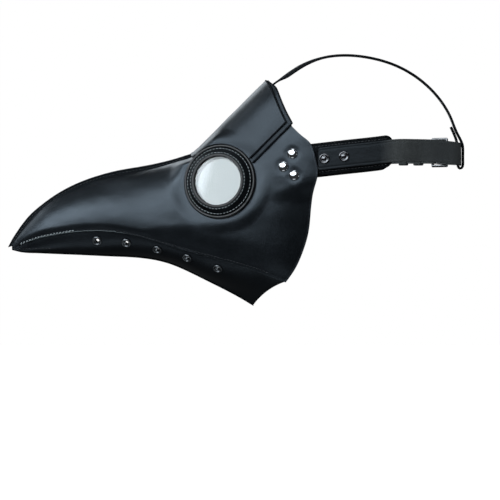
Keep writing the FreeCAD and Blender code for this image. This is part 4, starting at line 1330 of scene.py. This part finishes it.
band_profile = [(33.7, 0.15), (33.75, 1.2), (33.7, 2.6), (33.35, 3.35), (32.9, 3.7), (32.6, 3.82)]
band_profile += [(32.3, 4.35)]
band_profile += [(32.3 - 3.6 * k / 8, 4.35 + 3.95 * k / 8) for k in range(1, 9)]
band_profile += [(28.35, 8.72), (28.1, 8.72), (27.8, 8.95), (27.45, 9.05), (27.2, 8.9), (27.2, 7.8)]
band_profile += [(31.9, 2.8), (31.9, 0.15)]
eye_piece("eye_band_ring", "eye_band", band_profile, BAND, "band_leather", 540, band_shape)
ring_stitches("band_stitches_outer", radius=32.75, height=4.15, count=60, length=2.2, thick=0.42,
              tilt_out=0.9, seed=31)
ring_stitches("band_stitches_inner", radius=28.2, height=8.95, count=52, length=2.1, thick=0.40,
              tilt_out=0.5, seed=32)

lip_profile = [(24.25, 7.95), (24.25, 9.1)] + arc((24.95, 9.2), 0.7, 180, 90, 5)[1:] + [(26.0, 9.9)]
lip_profile += arc((26.35, 9.2), 0.7, 90, 0, 5) + [(27.05, 7.95)]
eye_piece("eye_lip_ring", "eye_lip", lip_profile, RUBBER, "black_rubber", 144)


def dome(radius, edge, rise_by, steps):
    """Points of a shallow dome from its edge to its middle."""
    outs = [1 - k / steps for k in range(steps + 1)]
    return [(radius * out, edge + rise_by * (1 - out ** 2)) for out in outs]


lens_profile = dome(26.9, 6.2, 0.5, 14)[::-1]
lens_profile += [(26.9, 7.3), (26.8, 7.5)] + dome(26.6, 7.5, 0.6, 16)
eye_piece("eye_lens_disc", "eye_lens", lens_profile, LENS, "clear_lens", 128)
for _, tag in SIDES:
    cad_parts["eye_socket_" + tag].material_slots[0].material = PLASTIC
    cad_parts["eye_retainer_" + tag].material_slots[0].material = PLASTIC


# ---------------------------------------------------------------- strap line

# Straight and bent stretches of the strap line, as (length, radius or 0), from the middle of the back.
rear_flat = SIDE_X - REAR_BEND * math.sin(REAR_TURN) - BUCKLE_RUN * math.cos(REAR_TURN)
rear_flat -= SIDE_BEND * (1.0 - math.sin(REAR_TURN))
SEGMENTS = [
    (rear_flat, 0.0), (REAR_BEND * REAR_TURN, REAR_BEND), (BUCKLE_RUN, 0.0),
    (SIDE_BEND * SIDE_TURN, SIDE_BEND), (300.0, FACE_CURVE),
]


def plan(length, level, z):
    """Point `length` along the strap line from the back, left side positive, and `level` outside it."""
    x, y, heading = 0.0, REAR_Y, 0.0
    left = abs(length)
    for span, radius in SEGMENTS:
        step = min(left, span)
        if radius:
            centre_x = x + radius * math.sin(heading)
            centre_y = y - radius * math.cos(heading)
            heading -= step / radius
            x = centre_x - radius * math.sin(heading)
            y = centre_y + radius * math.cos(heading)
        else:
            x += step * math.cos(heading)
            y += step * math.sin(heading)
        left -= step
        if left <= 0:
            break
    x -= level * math.sin(heading)
    y += level * math.cos(heading)
    return Vector((math.copysign(x, length) if length else x, y, z))


def strap_frame(length, level):
    """Point and outward direction at a place along the strap line."""
    middle = strap_height(abs(length))
    point = plan(length, level, middle)
    return point, (plan(length, level + 1.0, middle) - point).normalized()


def strap_section(half, thick, crease=0.14, crease_in=2.3):
    """Closed (height, depth) outline of a strap: rounded edges and a creased line along each one."""
    round_by = thick * 0.42
    outline = []
    for sign in (1, -1):
        face = []
        for share in (-0.8, -0.6, -0.4, -0.2, 0.0, 0.2, 0.4, 0.6, 0.8):
            face.append((share * (half - crease_in - 0.9), thick / 2))
        dip = crease if sign > 0 else 0.0
        edge = [
            (half - crease_in - 0.5, thick / 2), (half - crease_in, thick / 2 - dip),
            (half - crease_in + 0.5, thick / 2), (half - 1.2 * round_by, thick / 2),
        ]
        corner = []
        for k in range(1, 5):
            angle = math.radians(90 - 90 * k / 4)
            turn = (round_by * (1 - math.cos(angle)), round_by * (1 - math.sin(angle)))
            corner.append((half - turn[0], thick / 2 - turn[1]))
        other = [(-h, d) for h, d in reversed(corner)] + [(-h, d) for h, d in reversed(edge)]
        side = other + face + edge + corner
        outline += [(h * sign, d * sign) for h, d in side]
    return outline


def strap_mesh(track, half, thick, round_ends=(0.0, 0.0), pad=None):
    """Sweeps the strap section along (length, level) points.

    The ends can be rounded in side view, and `pad` shapes the outer face.
    """
    path = SmoothPath(track, True)
    count = int(path.length / 1.3)
    base = strap_section(half, thick)
    rings = []
    for k in range(count + 1):
        length, level = path(k / count)
        l0, v0 = path(max(k / count - 0.0015, 0.0))
        l1, v1 = path(min(k / count + 0.0015, 1.0))
        middle = strap_height(abs(length))
        here = plan(length, level, middle)
        step = plan(l1, v1, middle) - plan(l0, v0, middle)
        out = Vector((step.y, -step.x, 0)).normalized() if step.length else Vector((1, 0, 0))
        shape = 1.0
        done, left = path.length * k / count, path.length * (1 - k / count)
        for distance, reach in ((done, round_ends[0]), (left, round_ends[1])):
            if distance < reach:
                rounded = math.sqrt(max(reach ** 2 - (reach - distance) ** 2, 0.0))
                shape = min(shape, (half - reach + rounded) / half)
        ring = []
        for h, d in base:
            depth = d * (pad(h / half, min(done, left)) if pad and d > 0 else 1.0)
            ring.append(here + out * depth + Vector((0, 0, h * shape)))
        rings.append(ring)
    return sweep(rings)


def slot_box(lengths, levels, half):
    """A box for cutting the slot that the prong passes through, on the right of the strap line."""
    middle = strap_height(HEEL_AT)
    corners = []
    for length in lengths:
        for level in levels:
            for z in (middle - half, middle + half):
                corners.append(plan(-length, level, z))
    return corners, [(0, 1, 3, 2), (4, 6, 7, 5), (0, 4, 5, 1), (2, 3, 7, 6), (0, 2, 6, 4), (1, 5, 7, 3)]


# ---------------------------------------------------------------- tabs, straps and keepers

def tab_pad(share, from_end):
    """The tab's outer face: flat stitched border, padded middle."""
    border = ease((0.80 - abs(share)) / 0.14) * ease((from_end - 1.5) / 3.0)
    return 0.35 + 0.65 * border


def make_tabs():
    """The padded tabs, each with a row of stitches along its upper and lower edge."""
    lengths = [TAB_END + (TAB_FRONT - TAB_END) * k / 16 for k in range(17)]
    for side, tag in SIDES:
        track = [(side * length, -TAB_THICK / 2) for length in lengths][::-side]
        verts, faces = strap_mesh(track, TAB_HALF, TAB_THICK, (TAB_ROUND, TAB_ROUND), tab_pad)
        obj = make_piece("strap_pad_" + tag, verts, faces, TAB, "tab_leather", ["strap_tab_" + tag])
        rows = []
        for sign in (1, -1):
            line, ups = [], []
            for k in range(70):
                length = side * (TAB_END + 6.0 + (TAB_FRONT - TAB_END - 30.0) * k / 69)
                point, out = strap_frame(length, -TAB_THICK / 2 + 0.36 * TAB_THICK / 2 + 0.35)
                line.append(point + Vector((0, 0, sign * (TAB_HALF - PAD_BORDER))))
                ups.append(out)
            rows.append(stitch_row(line, ups, pitch=3.3, length=2.4, radius=0.26, slant=0.0, seed=41))
        make_piece("pad_stitches_" + tag, *add_parts(rows), THREAD, "tab_leather")


def make_long_strap():
    """From the left tab round the back, through the buckle and both keepers, with its punched holes."""
    lengths = [LONG_FRONT - 7.0 * k for k in range(26)] + [0.0, -12.0, -20.0]
    track = [(length, LONG_LEVEL) for length in lengths]
    track += [(-length, level) for length, level in TONGUE_TRACK]
    verts, faces = strap_mesh(track, STRAP_HALF, STRAP_THICK, (1.5, TONGUE_ROUND))
    obj = make_piece("strap_long", verts, faces, STRAP, "strap_leather", ["long_strap"])
    holes = []
    for length in SPARE_HOLES:
        point, outward = strap_frame(-length, 0.0)
        holes.append(plug_shape(point, outward, SPARE_HOLE_RADIUS, below=5.0, above=10.0, segments=28))
    cut_with(obj, *add_parts(holes + [slot_box(PRONG_HOLE, (-8.0, 10.0), PRONG_HOLE_HALF)]))


def make_short_strap():
    """From the right tab to the buckle, folded round its bar, with a slot for the prong."""
    fold = arc((-HEEL_AT, BAR_LEVEL), BAR_FOLD, 90.0, -90.0, 12)
    track = [(-length, level) for length, level in reversed(SHORT_TRACK[1:])] + fold
    track += [(-length, level) for length, level in FOLD_TRACK[1:]]
    verts, faces = strap_mesh(track, STRAP_HALF, STRAP_THICK)
    obj = make_piece("strap_short", verts, faces, STRAP, "strap_leather", ["short_strap"])
    cut_with(obj, *slot_box((HEEL_AT - 6.0, HEEL_AT + 6.0), (-5.0, 8.0), PRONG_HOLE_HALF + 0.3))


def make_top_strap():
    """From under the brow, over the head and down, with its loop round the back strap."""
    path = SmoothPath(TOP_STRAP, True)
    count = 260
    base = strap_section(TOP_STRAP_HALF, TOP_STRAP_THICK, 0.12, 2.0)
    rings = []
    for k in range(count + 1):
        y, z = path(k / count)
        y0, z0 = path(max(k / count - 0.002, 0.0))
        y1, z1 = path(min(k / count + 0.002, 1.0))
        out = Vector((0, z0 - z1, y1 - y0)).normalized()
        free = ease((y - TOP_STRAP_CLEAR) / 12.0)
        slim = UNDER_BROW_SLIM + (1.0 - UNDER_BROW_SLIM) * free
        droop = TOP_STRAP_DROOP * free * (1.0 - ease(y / 40.0))
        rings.append([Vector((h, y, z)) + out * (d * slim - droop * (h / TOP_STRAP_HALF) ** 2)
                      for h, d in base])
    make_piece("strap_top", *sweep(rings), TOP, "strap_leather", ["top_strap"])


def make_keeper(name, length, body, node):
    """Leather loop round both straps, with rounded corners and eased edges."""
    middle = strap_height(length)
    low, high = -0.35 - KEEPER_THICK, 2.65 + STRAP_THICK / 2 + 0.35 + KEEPER_THICK
    room = STRAP_HALF + 0.6 + KEEPER_THICK
    outline = []
    for sign_h, sign_d in ((1, 1), (-1, 1), (-1, -1), (1, -1)):
        inset = high - KEEPER_ROUND if sign_d > 0 else low + KEEPER_ROUND
        centre = (sign_h * (room - KEEPER_ROUND), inset)
        begin = {(1, 1): 0, (-1, 1): 90, (-1, -1): 180, (1, -1): 270}[(sign_h, sign_d)]
        for k in range(6):
            angle = math.radians(begin + 90 * k / 5)
            across, out = math.cos(angle), math.sin(angle)
            outline.append((centre[0] + KEEPER_ROUND * across, centre[1] + KEEPER_ROUND * out, across, out))
    steps = 8
    rings_out, rings_in = [], []
    for k in range(steps + 1):
        at = length + KEEPER_WIDTH * (0.5 - k / steps)
        shrink = 0.25 if k in (0, steps) else 0.0
        ring_out, ring_in = [], []
        for z, level, nz, nl in outline:
            ring_out.append(plan(-at, level - nl * shrink, middle + z - nz * shrink))
            ring_in.append(plan(-at, level - nl * KEEPER_THICK, middle + z - nz * KEEPER_THICK))
        rings_out.append(ring_out)
        rings_in.append(ring_in)
    size = len(outline)
    verts = [p for ring in rings_out for p in ring] + [p for ring in rings_in for p in ring]
    back = (steps + 1) * size
    faces = []
    for i in range(steps):
        for k in range(size):
            n = (k + 1) % size
            a, b, c, d = i * size + k, i * size + n, (i + 1) * size + n, (i + 1) * size + k
            faces.append((a, b, c, d))
            faces.append((back + a, back + d, back + c, back + b))
    for row in (0, steps):
        for k in range(size):
            n = (k + 1) % size
            faces.append((row * size + k, row * size + n, back + row * size + n, back + row * size + k))
    make_piece(name, verts, faces, STRAP, "strap_leather", [node], body, sharp=50.0)


make_tabs()
make_long_strap()
make_short_strap()
make_top_strap()
make_keeper("keeper_fixed", FIXED_KEEPER_AT, "mask", "fixed_keeper")
make_keeper("keeper_sliding", SLIDING_KEEPER_AT, "keeper", "sliding_keeper")


# ---------------------------------------------------------------- metal fittings

def rivet_profile(radius, top):
    """A button head, nearly flat in the middle, from its middle over the rim to its underside."""
    head = []
    for k in range(15):
        r = radius * math.sin(math.radians(90.0 * k / 14))
        head.append((r, 0.35 + top * max(1.0 - (r / radius) ** 2.6, 0.0) ** 0.62))
    head[0] = (0.0, head[0][1])
    return head + [(radius, 0.1), (radius * 0.94, -0.2), (radius * 0.9, -0.8), (0.0, -0.8)]


def snap_profile(radius):
    """A snap cap: rolled rim, shallow moat and a low button in the middle."""
    shape = [(0.0, 2.2), (0.22, 2.15), (0.36, 1.9), (0.44, 1.5), (0.52, 1.35), (0.60, 1.45), (0.70, 1.8),
             (0.80, 1.95), (0.90, 1.8), (0.97, 1.35), (1.0, 0.8), (1.0, 0.3), (0.95, 0.05), (0.0, 0.05)]
    return [(share * radius, h) for share, h in shape]


def eyelet_profile():
    """A rolled eyelet: barrel, rounded flange and the washer behind."""
    flange = arc((3.95, 0.55), 1.0, -20, 200, 12)
    barrel = [(2.3, -3.0), (4.3, -3.0), (4.3, -2.5), (2.9, -2.5), (2.9, 0.0), (4.3, 0.1)]
    return barrel + flange + [(2.3, 0.0)]


def refine(profile, times):
    """Chaikin smoothing of an open outline, its ends kept."""
    for _ in range(times):
        smooth = [profile[0]]
        for (r0, h0), (r1, h1) in zip(profile, profile[1:]):
            smooth.append((0.75 * r0 + 0.25 * r1, 0.75 * h0 + 0.25 * h1))
            smooth.append((0.25 * r0 + 0.75 * r1, 0.25 * h0 + 0.75 * h1))
        smooth.append(profile[-1])
        profile = smooth
    return profile


def fastener(head, radius, depth, top, point, outward):
    """A head, the stem below it and the flat cap behind all the layers that it holds."""
    low = -depth - 1.1
    cap = [(0.0, low), (0.6 * radius, low + 0.05), (0.8 * radius, low + 0.5), (0.8 * radius, low + 0.95)]
    cap.append((0.0, low + 1.0))
    parts = [lathe(head, point, outward, 64), plug_shape(point, outward, STEM_RADIUS, depth + 0.4, top, 24)]
    return parts + [lathe(cap, point, outward, 40)]


def tab_face(y):
    """X of the tab's outer face where it passes behind the cheek."""
    curve_start = plan(sum(span for span, _ in SEGMENTS[:4]), 0.0, 0.0)
    return SIDE_X - (curve_start.y - y) ** 2 / (2.0 * FACE_CURVE)


def make_fittings():
    """Cheek rivets, strap snaps and vent eyelets, each side's as one piece."""
    parts = []
    for point, outward in RIVET_PLACES:
        depth = (point.x - tab_face(point.y) + TAB_THICK) / outward.x + 0.2
        parts += fastener(rivet_profile(RIVET_RADIUS, 2.05), RIVET_RADIUS, depth, -0.5, point, outward)
    make_pair("rivets", *add_parts(parts), STEEL, "polished_steel", "cheek_rivets")
    parts = []
    for length in SNAP_LENGTHS:
        point, outward = strap_frame(length, LONG_LEVEL + STRAP_THICK / 2)
        head = refine(snap_profile(SNAP_RADIUS), 2)
        parts += fastener(head, SNAP_RADIUS, STRAP_THICK + TAB_THICK + 0.3, 0.4, point, outward)
    make_pair("snaps", *add_parts(parts), BLACK_NICKEL, "black_nickel", "strap_snaps")
    parts = [lathe(eyelet_profile(), point, outward, 56) for point, outward in vent_places]
    make_pair("eyelets", *add_parts(parts), GUNMETAL, "black_nickel", "vent_eyelets")


make_fittings()
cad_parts["buckle_frame"].material_slots[0].material = BUCKLE_METAL
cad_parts["buckle_prong"].material_slots[0].material = BUCKLE_METAL
